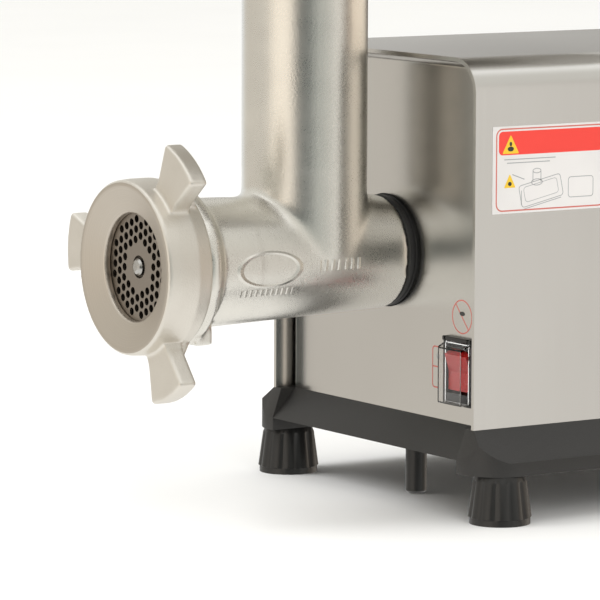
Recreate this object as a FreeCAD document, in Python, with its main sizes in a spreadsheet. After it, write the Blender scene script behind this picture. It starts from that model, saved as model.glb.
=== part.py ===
import FreeCAD, Part

import math
import os
import re

import Sketcher

# Electric meat grinder for a number 10 head: a steel cased motor and gearbox on a moulded base,
# with a cast grinding head that plugs into the gearbox hub and is locked by a side screw.
# X runs across the machine (the switch is on the +X half), Y from the ring nut to the back, Z up.
# The origin is on the table, under the middle of the machine's box.

Vector = FreeCAD.Vector
document = FreeCAD.newDocument("meat_grinder")

# Driving sizes in millimetres and degrees.
SIZES = {
    # whole machine
    "base_length": 302, "base_width": 250, "head_reach": 162, "axis_height": 145.7,
    # moulded base
    "base_underside": 28, "base_ledge": 36, "base_top": 53, "base_floor": 3, "base_corner": 24,
    "corner_block": 29, "base_wall": 3, "skirt_wall": 4, "vent_slot_width": 5, "vent_slot_length": 60,
    # feet and centre stop
    "foot_inset_side": 15, "foot_inset_end": 20.4, "foot_top_radius": 15.6, "foot_bottom_radius": 18,
    "foot_lip": 2.5, "foot_screw_recess": 6, "foot_screw_recess_depth": 9, "foot_screw_radius": 2.5,
    "stop_radius": 6.25, "stop_inset": 38.8, "stop_floor_gap": 0.8, "stop_chamfer": 1,
    # steel casing
    "casing_width": 208.2, "casing_top": 263.5, "casing_corner": 20, "casing_inset": 6, "sheet": 1.2,
    "hem_length": 3, "hem_thickness": 1.2, "bottom_flange": 12, "panel_recess": 10.4,
    "panel_side_gap": 2, "panel_top_gap": 0.3, "panel_bend": 5, "panel_flange": 9,
    "panel_hole_radius": 33.2, "rear_vent_width": 60, "rear_vent_height": 4, "rear_vent_pitch": 10,
    "side_label_start": 11.6, "side_label_length": 80, "side_label_low": 175.4,
    "side_label_height": 49.5, "side_label_thickness": 0.3,
    # ring nut
    "nut_rim_radius": 49.5, "nut_body_radius": 50, "nut_rear_radius": 47.5, "nut_length": 30.5,
    "nut_dish": 5.9, "mouth_radius": 30.7, "lip_wall": 4, "rim_round": 1.2, "lug_angle": 54.4,
    "lug_start": 8.5, "lug_thickness": 11.3, "lug_root_width": 22, "lug_tip_width": 35,
    "lug_tip_radius": 77.8, "lug_round": 2,
    # hole plate, knife and screw
    "plate_radius": 35, "plate_thickness": 8, "plate_hole_radius": 2.2, "plate_hole_pitch": 5.93,
    "plate_grid_turn": 24.2, "plate_boss_radius": 12.5, "plate_bore_radius": 6.5, "plate_rim": 4.4,
    "key_radius": 2,
    "knife_thickness": 10.8, "knife_radius": 31, "knife_hub_radius": 12, "knife_arm_root": 13,
    "knife_arm_tip": 9, "knife_square": 12, "screw_radius": 29, "screw_front_core": 11,
    "screw_rear_core": 15, "flight_pitch": 31, "flight_root": 7, "flight_tip": 4, "screw_start": 30.6,
    "screw_journal_radius": 14.5, "tang_width": 16, "tang_length": 15, "stud_radius": 4,
    "stud_depth": 28, "nose_radius": 4.8, "nose_reach": 2.6, "washer_thickness": 2, "washer_radius": 25,
    "bushing_wall": 3,
    "bushing_length": 24,
    # head casting
    "barrel_front": 12, "thread_radius": 44, "collar_radius": 46, "collar_rear": 36,
    "collar_slope": 8, "barrel_front_radius": 37.2, "barrel_rear_radius": 33.3,
    "barrel_shoulder": 172.5, "barrel_bore": 29.5, "bore_end": 165, "plate_seat_end": 30,
    "throat_radius": 36.25, "throat_bore": 31, "throat_station": 121.2, "throat_top": 312,
    "saddle_round": 7, "collar_seat": 14, "neck_radius": 26, "neck_end": 214.5,
    "boss_width": 9, "boss_length": 9, "boss_depth": 44.5, "boss_offset": 18,
    # tray and pusher
    "tray_width": 230, "tray_length": 320, "tray_depth": 34, "tray_corner": 40, "tray_start": 10,
    "tray_rim": 6, "tray_rim_height": 2.5, "tray_floor_round": 9, "tray_gauge": 1.5,
    "tray_neck_radius": 33.2, "tray_neck_length": 12,
    "pusher_radius": 29.8, "pusher_reach": 70, "pusher_flange_radius": 38, "pusher_flange": 8,
    "pusher_stem_radius": 14, "pusher_height": 62, "pusher_knob_radius": 21,
    # drive train
    "hub_front": 186, "hub_radius": 36, "hub_depth": 45, "hub_web": 4, "web_opening": 17,
    "bearing_radius": 23.5, "bearing_width": 15, "shaft_radius": 12.5, "socket_radius": 20,
    "socket_depth": 13, "drive_centres": 42, "slow_module": 2, "slow_teeth": 30, "pinion_teeth": 12,
    "fast_module": 1.5, "fast_teeth": 44, "pressure_angle": 25, "backlash": 0.12,
    "output_gear_width": 16, "fast_gear_width": 12, "cavity_radius": 38, "gearbox_wall": 6,
    "cavity_length": 35, "rear_wall": 14, "small_bearing_radius": 16, "small_bearing_width": 10,
    "layshaft_radius": 6, "circlip_width": 1.5, "circlip_radius": 15.5,
    "gearbox_leg_width": 44,
    # motor
    "rotor_shaft_radius": 8.5, "rotor_bearing_radius": 20, "rotor_bearing_width": 12,
    "motor_radius": 64, "motor_wall": 3, "motor_shell_length": 98, "stator_length": 70,
    "stator_bore": 35, "rotor_gap": 0.4, "winding_inner": 38, "winding_outer": 57,
    "end_shield": 8, "fan_radius": 54, "fan_hub_radius": 16, "fan_width": 11, "fan_blades": 9,
    "fan_blade_width": 2.5, "cradle_gauge": 3, "cradle_width": 90, "capacitor_radius": 17.5,
    "capacitor_length": 70, "capacitor_gap": 1.5, "clamp_gauge": 1.5, "clamp_width": 14,
    # switch
    "switch_left": 62.5, "switch_width": 28.2, "switch_low": 63.3, "switch_height": 39.2,
    "bezel_thickness": 2.4, "bezel_side": 3.7, "bezel_depth": 24, "switch_bar": 2.6, "bar_reach": 3.6,
    "rocker_height": 25, "rocker_drop": 2.5, "rocker_tilt": 8, "rocker_reach": 2.6, "rocker_dip": 1.6,
    "cover_wall": 0.9, "cover_inset": 2.5, "cover_reach": 8.4, "cover_slope": 3, "cover_pivot": 2.2,
    "ear_radius": 1.2, "ear_slot": 2, "cover_pin": 0.6, "pin_length": 1.5, "pin_radius": 1.2,
    # lock screw and cable gland
    "lock_station": 200, "lock_radius": 5, "lock_boss_radius": 11, "lock_boss_end": 58,
    "lock_knob_radius": 14, "lock_knob_length": 15, "lock_knob_gap": 2.5,
    "gland_offset": 60, "gland_height": 82, "gland_bore": 3.75, "gland_thread": 8,
    "gland_flats": 22, "gland_hex": 5, "gland_dome": 9, "gland_dome_radius": 9.5, "gland_nut": 4,
    # clearances
    "running": 0.05, "slip": 0.1, "free": 0.3, "socket_play": 0.15, "thread_play": 0.08,
}

# Places worked out from the sizes. Stations along Y count from the ring nut's front rim.
PLACES = {
    "nut_rim": "(0 - (head_reach + base_length) / 2)",
    "base_front": "(nut_rim + head_reach)",
    "base_back": "(base_front + base_length)",
    "casing_front": "(base_front + casing_inset)",
    "casing_back": "(base_back - casing_inset)",
    "front_panel_face": "(casing_front + panel_recess)",
    "rear_panel_face": "(casing_back - panel_recess)",
    "hem": "(sheet + hem_thickness)",
    "block_inner": "(base_width / 2 - corner_block)",
    "panel_half_width": "(casing_width / 2 - hem - panel_side_gap)",
    "panel_top": "(casing_top - hem - panel_top_gap)",
    "plate_face": "(nut_dish + lip_wall + slip)",
    "knife_face": "(plate_face + plate_thickness + slip)",
    "cover_flange": "(hub_front + hub_depth + hub_web + bearing_width)",
    "cavity_front": "(hub_front + hub_depth + hub_web + 2 * bearing_width)",
    "housing_back": "(cavity_front + cavity_length + rear_wall)",
    "shell_back": "(housing_back + motor_shell_length)",
    "stator_front": "(housing_back + (motor_shell_length - stator_length) / 2)",
    "layshaft_height": "(axis_height + drive_centres)",
    "capacitor_place": "(cradle_width / 2 + capacitor_radius + 3 + capacitor_gap)",
    "rocker_middle": "((switch_height - switch_bar) / 2 + rocker_drop / 2)",
}

sheet = document.addObject("Spreadsheet::Sheet", "dims")
for row, (alias, number) in enumerate(SIZES.items(), start=1):
    sheet.set(f"A{row}", alias.replace("_", " "))
    sheet.set(f"B{row}", str(number))
    sheet.setAlias(f"B{row}", alias)
document.recompute()


def formula(text):
    """Write out the places in a formula and put the sheet's name before each size."""
    words = re.compile(r"[a-z_]+")
    while any(word in PLACES for word in words.findall(text)):
        text = words.sub(lambda word: PLACES.get(word.group(), word.group()), text)
    return words.sub(lambda word: "dims." + word.group() if word.group() in SIZES else word.group(), text)


def size(text):
    """The number a formula gives."""
    return float(sheet.evalExpression(formula(text)))


# --- Making bodies, sketches and features -------------------------------------------------------

nodes = []
plane_of = {}
NORMAL_SIGN = {"XY_Plane": 1, "XZ_Plane": -1, "YZ_Plane": 1}


def place(item, x="0", y="0", z="0"):
    for axis, text in zip("xyz", (x, y, z)):
        item.setExpression(f"Placement.Base.{axis}", formula(text))


def new_body(name, x="0", y="0", z="0"):
    """An empty body whose own origin is placed in the machine."""
    body = document.addObject("PartDesign::Body", name)
    body.Label = name
    place(body, x, y, z)
    nodes.append(body)
    return body


def new_sketch(body, role, offset="0"):
    """A sketch on one of the body's origin planes, moved along the positive axis by offset."""
    sketch = body.newObject("Sketcher::SketchObject", f"{body.Name}_sketch")
    plane = next(item for item in body.Origin.OriginFeatures if item.Role == role)
    sketch.AttachmentSupport = [(plane, "")]
    sketch.MapMode = "FlatFace"
    sign = "" if NORMAL_SIGN[role] > 0 else "0 - "
    sketch.setExpression("AttachmentOffset.Base.z", formula(f"{sign}({offset})"))
    plane_of[sketch.Name] = role
    return sketch


def hold(sketch, index, point, across, up):
    """Tie a point of the sketch to two formulas."""
    for kind, text in (("DistanceX", across), ("DistanceY", up)):
        constraint = Sketcher.Constraint(kind, -1, 1, index, point, size(text))
        number = sketch.addConstraint(constraint)
        sketch.setExpression(f"Constraints[{number}]", formula(text))


def outline(sketch, corners, bends=None):
    """A closed outline through the corners. bends gives a radius for the edge after a corner,
    as (formula, side), with the arc's centre on the left (1) or the right (-1) of that edge."""
    bends = bends or {}
    points = [Vector(size(across), size(up), 0) for across, up in corners]
    first = sketch.GeometryCount
    ends = []
    for index, start in enumerate(points):
        end = points[(index + 1) % len(points)]
        if index not in bends:
            sketch.addGeometry(Part.LineSegment(start, end), False)
            ends.append((1, 2))
            continue
        radius_text, side = bends[index]
        radius = size(radius_text)
        chord = end - start
        rise = math.sqrt(max(radius ** 2 - (chord.Length / 2) ** 2, 0))
        left = Vector(-chord.y, chord.x, 0).normalize()
        centre = start + chord * 0.5 + left * (side * rise)
        begin, finish = (start, end) if side > 0 else (end, start)
        angles = [math.atan2(point.y - centre.y, point.x - centre.x) for point in (begin, finish)]
        circle = Part.Circle(centre, Vector(0, 0, 1), radius)
        sketch.addGeometry(Part.ArcOfCircle(circle, *angles), False)
        number = sketch.addConstraint(Sketcher.Constraint("Radius", first + index, radius))
        sketch.setExpression(f"Constraints[{number}]", formula(radius_text))
        ends.append((1, 2) if side > 0 else (2, 1))
    for index, (across, up) in enumerate(corners):
        after = (index + 1) % len(corners)
        joined = Sketcher.Constraint("Coincident", first + index, ends[index][1], first + after,
                                     ends[after][0])
        sketch.addConstraint(joined)
        hold(sketch, first + index, ends[index][0], across, up)
    return sketch


def rectangle(sketch, left, low, right, high):
    return outline(sketch, [(left, low), (right, low), (right, high), (left, high)])


def rounded(sketch, left, low, right, high, radius):
    """A rectangle with round corners."""
    corners = [(f"{left} + {radius}", low), (f"{right} - ({radius})", low), (right, f"{low} + {radius}"),
               (right, f"{high} - ({radius})"), (f"{right} - ({radius})", high),
               (f"{left} + {radius}", high),
               (left, f"{high} - ({radius})"), (left, f"{low} + {radius}")]
    return outline(sketch, corners, {index: (radius, 1) for index in (1, 3, 5, 7)})


def arch(sketch, half, low, high, radius):
    """A doorway shape: square below, with its two upper corners round."""
    corners = [(f"0 - ({half})", low), (half, low), (half, f"{high} - ({radius})"),
               (f"{half} - ({radius})", high), (f"0 - ({half}) + {radius}", high),
               (f"0 - ({half})", f"{high} - ({radius})")]
    return outline(sketch, corners, {2: (radius, 1), 4: (radius, 1)})


def circle(sketch, radius, across="0", up="0"):
    centre = Vector(size(across), size(up), 0)
    index = sketch.addGeometry(Part.Circle(centre, Vector(0, 0, 1), size(radius)), False)
    hold(sketch, index, 3, across, up)
    number = sketch.addConstraint(Sketcher.Constraint("Radius", index, size(radius)))
    sketch.setExpression(f"Constraints[{number}]", formula(radius))
    return sketch


def feature(body, kind, sketch):
    item = body.newObject(f"PartDesign::{kind}", f"{body.Name}_{kind.lower()}")
    item.Profile = (sketch, [""])
    return item


def pad(body, sketch, length, upward=True):
    """Grow the sketch along its axis, towards the positive side when upward."""
    item = feature(body, "Pad", sketch)
    item.setExpression("Length", formula(length))
    item.Reversed = (NORMAL_SIGN[plane_of[sketch.Name]] > 0) != upward
    return item


def pocket(body, sketch, length, upward=True):
    """Cut the sketch along its axis, towards the positive side when upward."""
    item = feature(body, "Pocket", sketch)
    item.setExpression("Length", formula(length))
    item.Reversed = (NORMAL_SIGN[plane_of[sketch.Name]] > 0) == upward
    return item


def revolve(body, sketch, axis="H_Axis"):
    item = feature(body, "Revolution", sketch)
    item.ReferenceAxis = (sketch, [axis])
    item.Angle = 360
    return item


def groove(body, sketch, axis="H_Axis"):
    item = feature(body, "Groove", sketch)
    item.ReferenceAxis = (sketch, [axis])
    item.Angle = 360
    return item


def polar(body, originals, count, axis_role):
    """Repeat features evenly about one of the body's own axes."""
    item = body.newObject("PartDesign::PolarPattern", f"{body.Name}_ring")
    axis = next(entry for entry in body.Origin.OriginFeatures if entry.Role == axis_role)
    item.Originals = originals
    item.Axis = (axis, [""])
    item.Angle = 360
    item.Occurrences = count
    body.Tip = item
    return item


def round_edges(body, radius, test):
    """Fillet the edges whose middle point and curve pass the test."""
    document.recompute()
    base = body.Tip
    names = []
    for number, edge in enumerate(base.Shape.Edges, start=1):
        if not edge.Degenerated:
            middle = edge.valueAt((edge.FirstParameter + edge.LastParameter) / 2)
            if test(middle, edge):
                names.append(f"Edge{number}")
    if not names:
        raise ValueError(f"{body.Label}: no edge to round")
    item = body.newObject("PartDesign::Fillet", f"{body.Name}_round")
    item.Base = (base, names)
    item.setExpression("Radius", formula(radius))
    return item


def shell(body, thickness, test):
    """Hollow the body to walls of one thickness, open at the faces that pass the test."""
    document.recompute()
    base = body.Tip
    names = [f"Face{number}" for number, face in enumerate(base.Shape.Faces, start=1) if test(face)]
    item = body.newObject("PartDesign::Thickness", f"{body.Name}_shell")
    item.Base = (base, names)
    item.setExpression("Value", formula(thickness))
    item.Reversed = True


def runs_along(edge, axis):
    """Whether an edge is a straight line along one axis."""
    if not edge.Curve.TypeId.endswith("Line"):
        return False
    return abs(abs(getattr(edge.tangentAt(edge.FirstParameter), axis)) - 1) < 1e-6


def turned(name, profile, x="0", y="0", z="0", axis="y"):
    """A piece turned about its own axis: the profile gives pairs of place along it and radius."""
    role, reference = {"y": ("YZ_Plane", "H_Axis"), "x": ("XY_Plane", "H_Axis"),
                       "z": ("XZ_Plane", "V_Axis")}[axis]
    body = new_body(name, x, y, z)
    corners = [(radius, along) for along, radius in profile] if axis == "z" else profile
    revolve(body, outline(new_sketch(body, role), corners), reference)
    return body


def ring(name, start, length, outer, inner, z="axis_height"):
    """A plain ring on a shaft line, its station counted from the ring nut's rim."""
    profile = [("0", inner), ("0", outer), (length, outer), (length, inner)]
    return turned(name, profile, y=f"nut_rim + {start}", z=z)


def group(name, parts):
    """One node of several separate pieces."""
    item = document.addObject("Part::Compound", name)
    item.Label = name
    item.Links = parts
    nodes.append(item)
    return item


def cylinder(name, radius, length, x, y, z, axis="z"):
    """A Part cylinder that starts at the place given and grows along the axis: x, y, z or -z."""
    item = document.addObject("Part::Cylinder", name)
    item.Label = name
    item.setExpression("Radius", formula(radius))
    item.setExpression("Height", formula(length))
    turns = {"z": (1, 0, 0, 0), "-z": (1, 0, 0, 180), "y": (1, 0, 0, -90), "-y": (1, 0, 0, 90),
             "x": (0, 1, 0, 90)}
    *direction, angle = turns[axis]
    item.Placement = FreeCAD.Placement(Vector(), FreeCAD.Rotation(Vector(*direction), angle))
    place(item, x, y, z)
    return item


def screw(name, x, y, z, axis, head_radius, head_height, shank_radius, length):
    """A pan head screw: the head's underside at the place given, the shank along the axis."""
    away = {"z": "-z", "-z": "z", "y": "-y", "-y": "y"}[axis]
    shank = cylinder(f"{name}_shank", shank_radius, length, x, y, z, axis)
    head = cylinder(f"{name}_head", head_radius, head_height, x, y, z, away)
    joined = document.addObject("Part::Fuse", name)
    joined.Label = name
    joined.Base = shank
    joined.Tool = head
    return joined


# --- Grinding head -------------------------------------------------------------------------------

def head_casting():
    """Barrel with the threaded front, collar, throat and rear neck, bored through."""
    body = new_body("head_casting", y="nut_rim", z="axis_height")
    outer = [
        ("barrel_front", "0"), ("barrel_front", "thread_radius"),
        ("nut_length + free", "thread_radius"), ("nut_length + free", "collar_radius"),
        ("collar_rear", "collar_radius"), ("collar_rear + collar_slope", "barrel_front_radius"),
        ("barrel_shoulder", "barrel_rear_radius"), ("barrel_shoulder", "neck_radius"),
        ("neck_end", "neck_radius"), ("neck_end", "0"),
    ]
    revolve(body, outline(new_sketch(body, "YZ_Plane"), outer))
    throat = circle(new_sketch(body, "XY_Plane"), "throat_radius", up="throat_station")
    pad(body, throat, "throat_top - axis_height")
    round_edges(body, "saddle_round", lambda middle, edge: "BSpline" in edge.Curve.TypeId)
    boss = rectangle(new_sketch(body, "XY_Plane", "0 - boss_depth"), "boss_offset - boss_width / 2",
                     "collar_rear - 2",
                     "boss_offset + boss_width / 2", "collar_rear + boss_length")
    pad(body, boss, "boss_depth - barrel_front_radius + 8")
    inner = [
        ("barrel_front - 1", "0"), ("barrel_front - 1", "plate_radius + slip"),
        ("plate_seat_end", "plate_radius + slip"), ("plate_seat_end", "barrel_bore"),
        ("bore_end", "barrel_bore"), ("bore_end", "screw_journal_radius + bushing_wall"),
        ("neck_end + 1", "screw_journal_radius + bushing_wall"), ("neck_end + 1", "0"),
    ]
    groove(body, outline(new_sketch(body, "YZ_Plane"), inner))
    shaft = circle(new_sketch(body, "XY_Plane"), "throat_bore", up="throat_station")
    pocket(body, shaft, "throat_top - axis_height + 1")
    seat = circle(new_sketch(body, "XY_Plane", "throat_top - axis_height - collar_seat"),
                  "tray_neck_radius + free", up="throat_station")
    pocket(body, seat, "collar_seat + 1")
    key_hole = circle(new_sketch(body, "XY_Plane", "plate_radius - 3"), "key_radius",
                      up="barrel_front + 3")
    pocket(body, key_hole, "thread_radius - plate_radius + 1.3")


def plate_key():
    """The pin in the plate seat that stops the hole plate from turning."""
    length = "thread_radius - plate_radius - 0.2"
    nodes.append(cylinder("plate_key", "key_radius", length, "0", "nut_rim + barrel_front + 3",
                          "axis_height + plate_radius - 1.5"))


def hole_plate():
    """Hardened disc with a plain middle and rim, drilled on a triangular grid."""
    profile = [("0", "plate_bore_radius"), ("0", "plate_radius"), ("plate_thickness", "plate_radius"),
               ("plate_thickness", "plate_bore_radius")]
    body = turned("hole_plate", profile, y="nut_rim + plate_face", z="axis_height")
    drills = new_sketch(body, "XZ_Plane")
    pitch = size("plate_hole_pitch")
    radius = size("plate_hole_radius")
    inner = size("plate_boss_radius") + radius
    outer = size("plate_radius - plate_rim") - radius
    reach = int(outer / pitch) + 2
    turn = math.radians(size("plate_grid_turn"))
    for row in range(-reach, reach + 1):
        for column in range(-reach, reach + 1):
            across = (column + (row % 2) / 2) * pitch
            up = row * pitch * math.sqrt(3) / 2
            if inner <= math.hypot(across, up) <= outer:
                middle = Vector(across * math.cos(turn) - up * math.sin(turn),
                                across * math.sin(turn) + up * math.cos(turn), 0)
                drills.addGeometry(Part.Circle(middle, Vector(0, 0, 1), radius), False)
    pocket(body, drills, "plate_thickness + 1")
    notch = rectangle(new_sketch(body, "XZ_Plane"), "0 - key_radius - slip", "plate_radius - 2",
                      "key_radius + slip", "plate_radius + 1")
    pocket(body, notch, "plate_thickness + 1")


def knife():
    """Four armed knife with a square hole, driven by the front of the feed screw."""
    body = new_body("knife", y="nut_rim + knife_face", z="axis_height")
    pad(body, circle(new_sketch(body, "XZ_Plane"), "knife_hub_radius"), "knife_thickness")
    arm = outline(new_sketch(body, "XZ_Plane"), [
        ("0 - knife_arm_root / 2", "0"), ("knife_arm_root / 2", "0"),
        ("knife_arm_tip / 2", "knife_radius"), ("0 - knife_arm_tip / 2 - 2", "knife_radius")])
    arm_pad = pad(body, arm, "knife_thickness - 2")
    polar(body, [arm_pad], 4, "Y_Axis")
    half = "(knife_square / 2 + slip)"
    pocket(body, rectangle(new_sketch(body, "XZ_Plane"), f"0 - {half}", f"0 - {half}", half, half),
           "knife_thickness + 1")


def feed_screw():
    """Tapered core with a helical flight, a square for the knife and a square tang at the back."""
    body = new_body("feed_screw", y="nut_rim", z="axis_height")
    core = [
        ("screw_start", "0"), ("screw_start", "screw_front_core"),
        ("bore_end - washer_thickness - slip", "screw_rear_core"),
        ("bore_end - washer_thickness - slip", "screw_journal_radius"),
        ("neck_end - 2", "screw_journal_radius"), ("neck_end - 2", "0"),
    ]
    revolve(body, outline(new_sketch(body, "YZ_Plane"), core))
    flight = outline(new_sketch(body, "YZ_Plane"), [
        ("screw_start + 1", "screw_front_core - 3"),
        ("screw_start + 1 + flight_root", "screw_front_core - 3"),
        ("screw_start + 1 + (flight_root + flight_tip) / 2", "screw_radius"),
        ("screw_start + 1 + (flight_root - flight_tip) / 2", "screw_radius")])
    thread = feature(body, "AdditiveHelix", flight)
    thread.ReferenceAxis = (flight, ["H_Axis"])
    thread.Mode = "pitch-height-angle"
    thread.setExpression("Pitch", formula("flight_pitch"))
    thread.setExpression("Height", formula("bore_end - washer_thickness - screw_start - flight_root - 3"))
    front = "knife_square / 2"
    square = rectangle(new_sketch(body, "XZ_Plane", "knife_face"), f"0 - {front}", f"0 - {front}", front,
                       front)
    pad(body, square, "screw_start - knife_face + 5")
    rear = "tang_width / 2"
    tang = rectangle(new_sketch(body, "XZ_Plane", "neck_end - 5"), f"0 - {rear}", f"0 - {rear}", rear, rear)
    pad(body, tang, "5 + tang_length - 1")
    stud_hole = circle(new_sketch(body, "XZ_Plane", "knife_face - 1"), "stud_radius + 0.02")
    pocket(body, stud_hole, "stud_depth + 1")


def screw_stud():
    """The pin screwed into the feed screw, which turns in the middle of the hole plate."""
    journal = "plate_bore_radius - slip"
    turned("screw_stud", [
        ("plate_face - nose_reach", "0"), ("plate_face - nose_reach", "nose_radius - 2.6"),
        ("plate_face - nose_reach + 0.7", "nose_radius - 0.9"),
        ("plate_face - nose_reach + 2", "nose_radius"),
        ("plate_face + 4", "nose_radius"), ("plate_face + 4", journal), ("knife_face", journal),
        ("knife_face", "stud_radius"),
        ("knife_face + stud_depth", "stud_radius"), ("knife_face + stud_depth", "0")],
        y="nut_rim", z="axis_height")


def ring_nut():
    """Cast nut with a dished face and three flared lugs."""
    body = new_body("ring_nut", y="nut_rim", z="axis_height")
    body.Placement = FreeCAD.Placement(Vector(), FreeCAD.Rotation(Vector(0, 1, 0), 30))
    body.setExpression("Placement.Rotation.Angle", formula("90 - lug_angle"))
    place(body, y="nut_rim", z="axis_height")
    lug = outline(new_sketch(body, "XZ_Plane", "lug_start"), [
        ("0 - lug_root_width / 2", "nut_rear_radius - 3"), ("lug_root_width / 2", "nut_rear_radius - 3"),
        ("lug_root_width / 2", "nut_body_radius + 2"),
        ("lug_tip_width / 2", "lug_tip_radius - 2"), ("0 - lug_tip_width / 2", "lug_tip_radius - 2"),
        ("0 - lug_root_width / 2", "nut_body_radius + 2")],
        {3: ("lug_tip_radius - 20", 1)})
    lug_pad = pad(body, lug, "lug_thickness")
    lug_round = round_edges(body, "lug_round", lambda middle, edge: middle.z > size("nut_body_radius + 4"))
    web = outline(new_sketch(body, "YZ_Plane", "0 - lug_root_width / 2 + 4"), [
        ("lug_start + 2", "nut_rear_radius - 3"), ("nut_length - 2", "nut_rear_radius - 3"),
        ("nut_length - 3", "nut_rear_radius + 1"),
        ("lug_start + lug_thickness - 2", "nut_body_radius + 12"),
        ("lug_start + 2", "nut_body_radius + 12")])
    web_pad = pad(body, web, "lug_root_width - 8")
    polar(body, [lug_pad, lug_round, web_pad], 3, "Y_Axis")
    shell = [
        ("0", "nut_rim_radius - rim_round"), ("rim_round", "nut_rim_radius"),
        ("lug_start", "nut_body_radius"),
        ("lug_start + lug_thickness", "nut_body_radius"), ("nut_length - 1.5", "nut_rear_radius"),
        ("nut_length", "nut_rear_radius - 1.5"), ("nut_length", "40"), ("0", "40")]
    revolve(body, outline(new_sketch(body, "YZ_Plane"), shell))
    lip = [
        ("0.5", "39"), ("0.5", "41"), ("nut_dish + lip_wall", "41"),
        ("nut_dish + lip_wall", "mouth_radius"),
        ("nut_dish", "mouth_radius")]
    revolve(body, outline(new_sketch(body, "YZ_Plane"), lip))
    dish = [("0 - 1", "0"), ("0 - 1", "nut_rim_radius - rim_round - 2"),
            ("0", "nut_rim_radius - rim_round - 2"),
            ("nut_dish", "mouth_radius"), ("nut_dish + lip_wall + 1", "mouth_radius"),
            ("nut_dish + lip_wall + 1", "0")]
    groove(body, outline(new_sketch(body, "YZ_Plane"), dish))
    thread = [("nut_dish + lip_wall", "0"), ("nut_dish + lip_wall", "thread_radius + thread_play"),
              ("nut_length + 1", "thread_radius + thread_play"), ("nut_length + 1", "0")]
    groove(body, outline(new_sketch(body, "YZ_Plane"), thread))


def head_rings():
    """Bronze bushing in the rear wall and the thrust washer in front of it."""
    ring("rear_bushing", "bore_end", "bushing_length", "screw_journal_radius + bushing_wall",
         "screw_journal_radius + running")
    ring("thrust_washer", "bore_end - washer_thickness", "washer_thickness", "washer_radius",
         "screw_journal_radius + slip")


def feed_tray():
    """Pressed steel pan with a flat rim and a neck that drops into the throat."""
    body = new_body("feed_tray", y="nut_rim + tray_start + tray_length / 2", z="throat_top + running")

    def tray_outline(sketch, inset):
        return rounded(sketch, f"0 - tray_width / 2 + {inset}", f"0 - tray_length / 2 + {inset}",
                       f"tray_width / 2 - {inset}", f"tray_length / 2 - {inset}", f"tray_corner - {inset}")

    pad(body, tray_outline(new_sketch(body, "XY_Plane"), "tray_rim"), "tray_depth")
    round_edges(body, "tray_floor_round", lambda middle, edge: abs(middle.z) < 0.01)
    shell(body, "tray_gauge", lambda face: face.CenterOfMass.z > size("tray_depth") - 0.01)
    rim = tray_outline(new_sketch(body, "XY_Plane", "tray_depth - tray_rim_height"), "0")
    pad(body, tray_outline(rim, "tray_rim + 0.5"), "tray_rim_height")
    hole_place = "throat_station - tray_start - tray_length / 2"
    neck = circle(new_sketch(body, "XY_Plane", "0 - tray_neck_length"), "tray_neck_radius", up=hole_place)
    pad(body, neck, "tray_neck_length + tray_gauge")
    bore = circle(new_sketch(body, "XY_Plane", "0 - tray_neck_length - 1"), "throat_bore", up=hole_place)
    pocket(body, bore, "tray_neck_length + tray_gauge + 2")


def pusher():
    """One piece moulded pusher: rod in the throat, stop flange, stem and knob."""
    knob = "pusher_flange + pusher_height"
    turned("pusher", [
        ("0 - pusher_reach", "0"), ("0 - pusher_reach", "pusher_radius - 3"),
        ("0 - pusher_reach + 3", "pusher_radius"), ("0", "pusher_radius"),
        ("0", "pusher_flange_radius - 1.5"), ("1.5", "pusher_flange_radius"),
        ("pusher_flange - 2", "pusher_flange_radius"), ("pusher_flange", "pusher_flange_radius - 3"),
        ("pusher_flange", "pusher_stem_radius + 4"), ("pusher_flange + 5", "pusher_stem_radius"),
        (f"{knob} - 26", "pusher_stem_radius - 2"), (f"{knob} - 18", "pusher_knob_radius - 1"),
        (f"{knob} - 10", "pusher_knob_radius"), (f"{knob} - 3", "pusher_knob_radius - 5"), (knob, "0")],
        y="nut_rim + throat_station", z="throat_top + tray_gauge + 2 * running", axis="z")


# --- Base, feet and stop -------------------------------------------------------------------------

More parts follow.
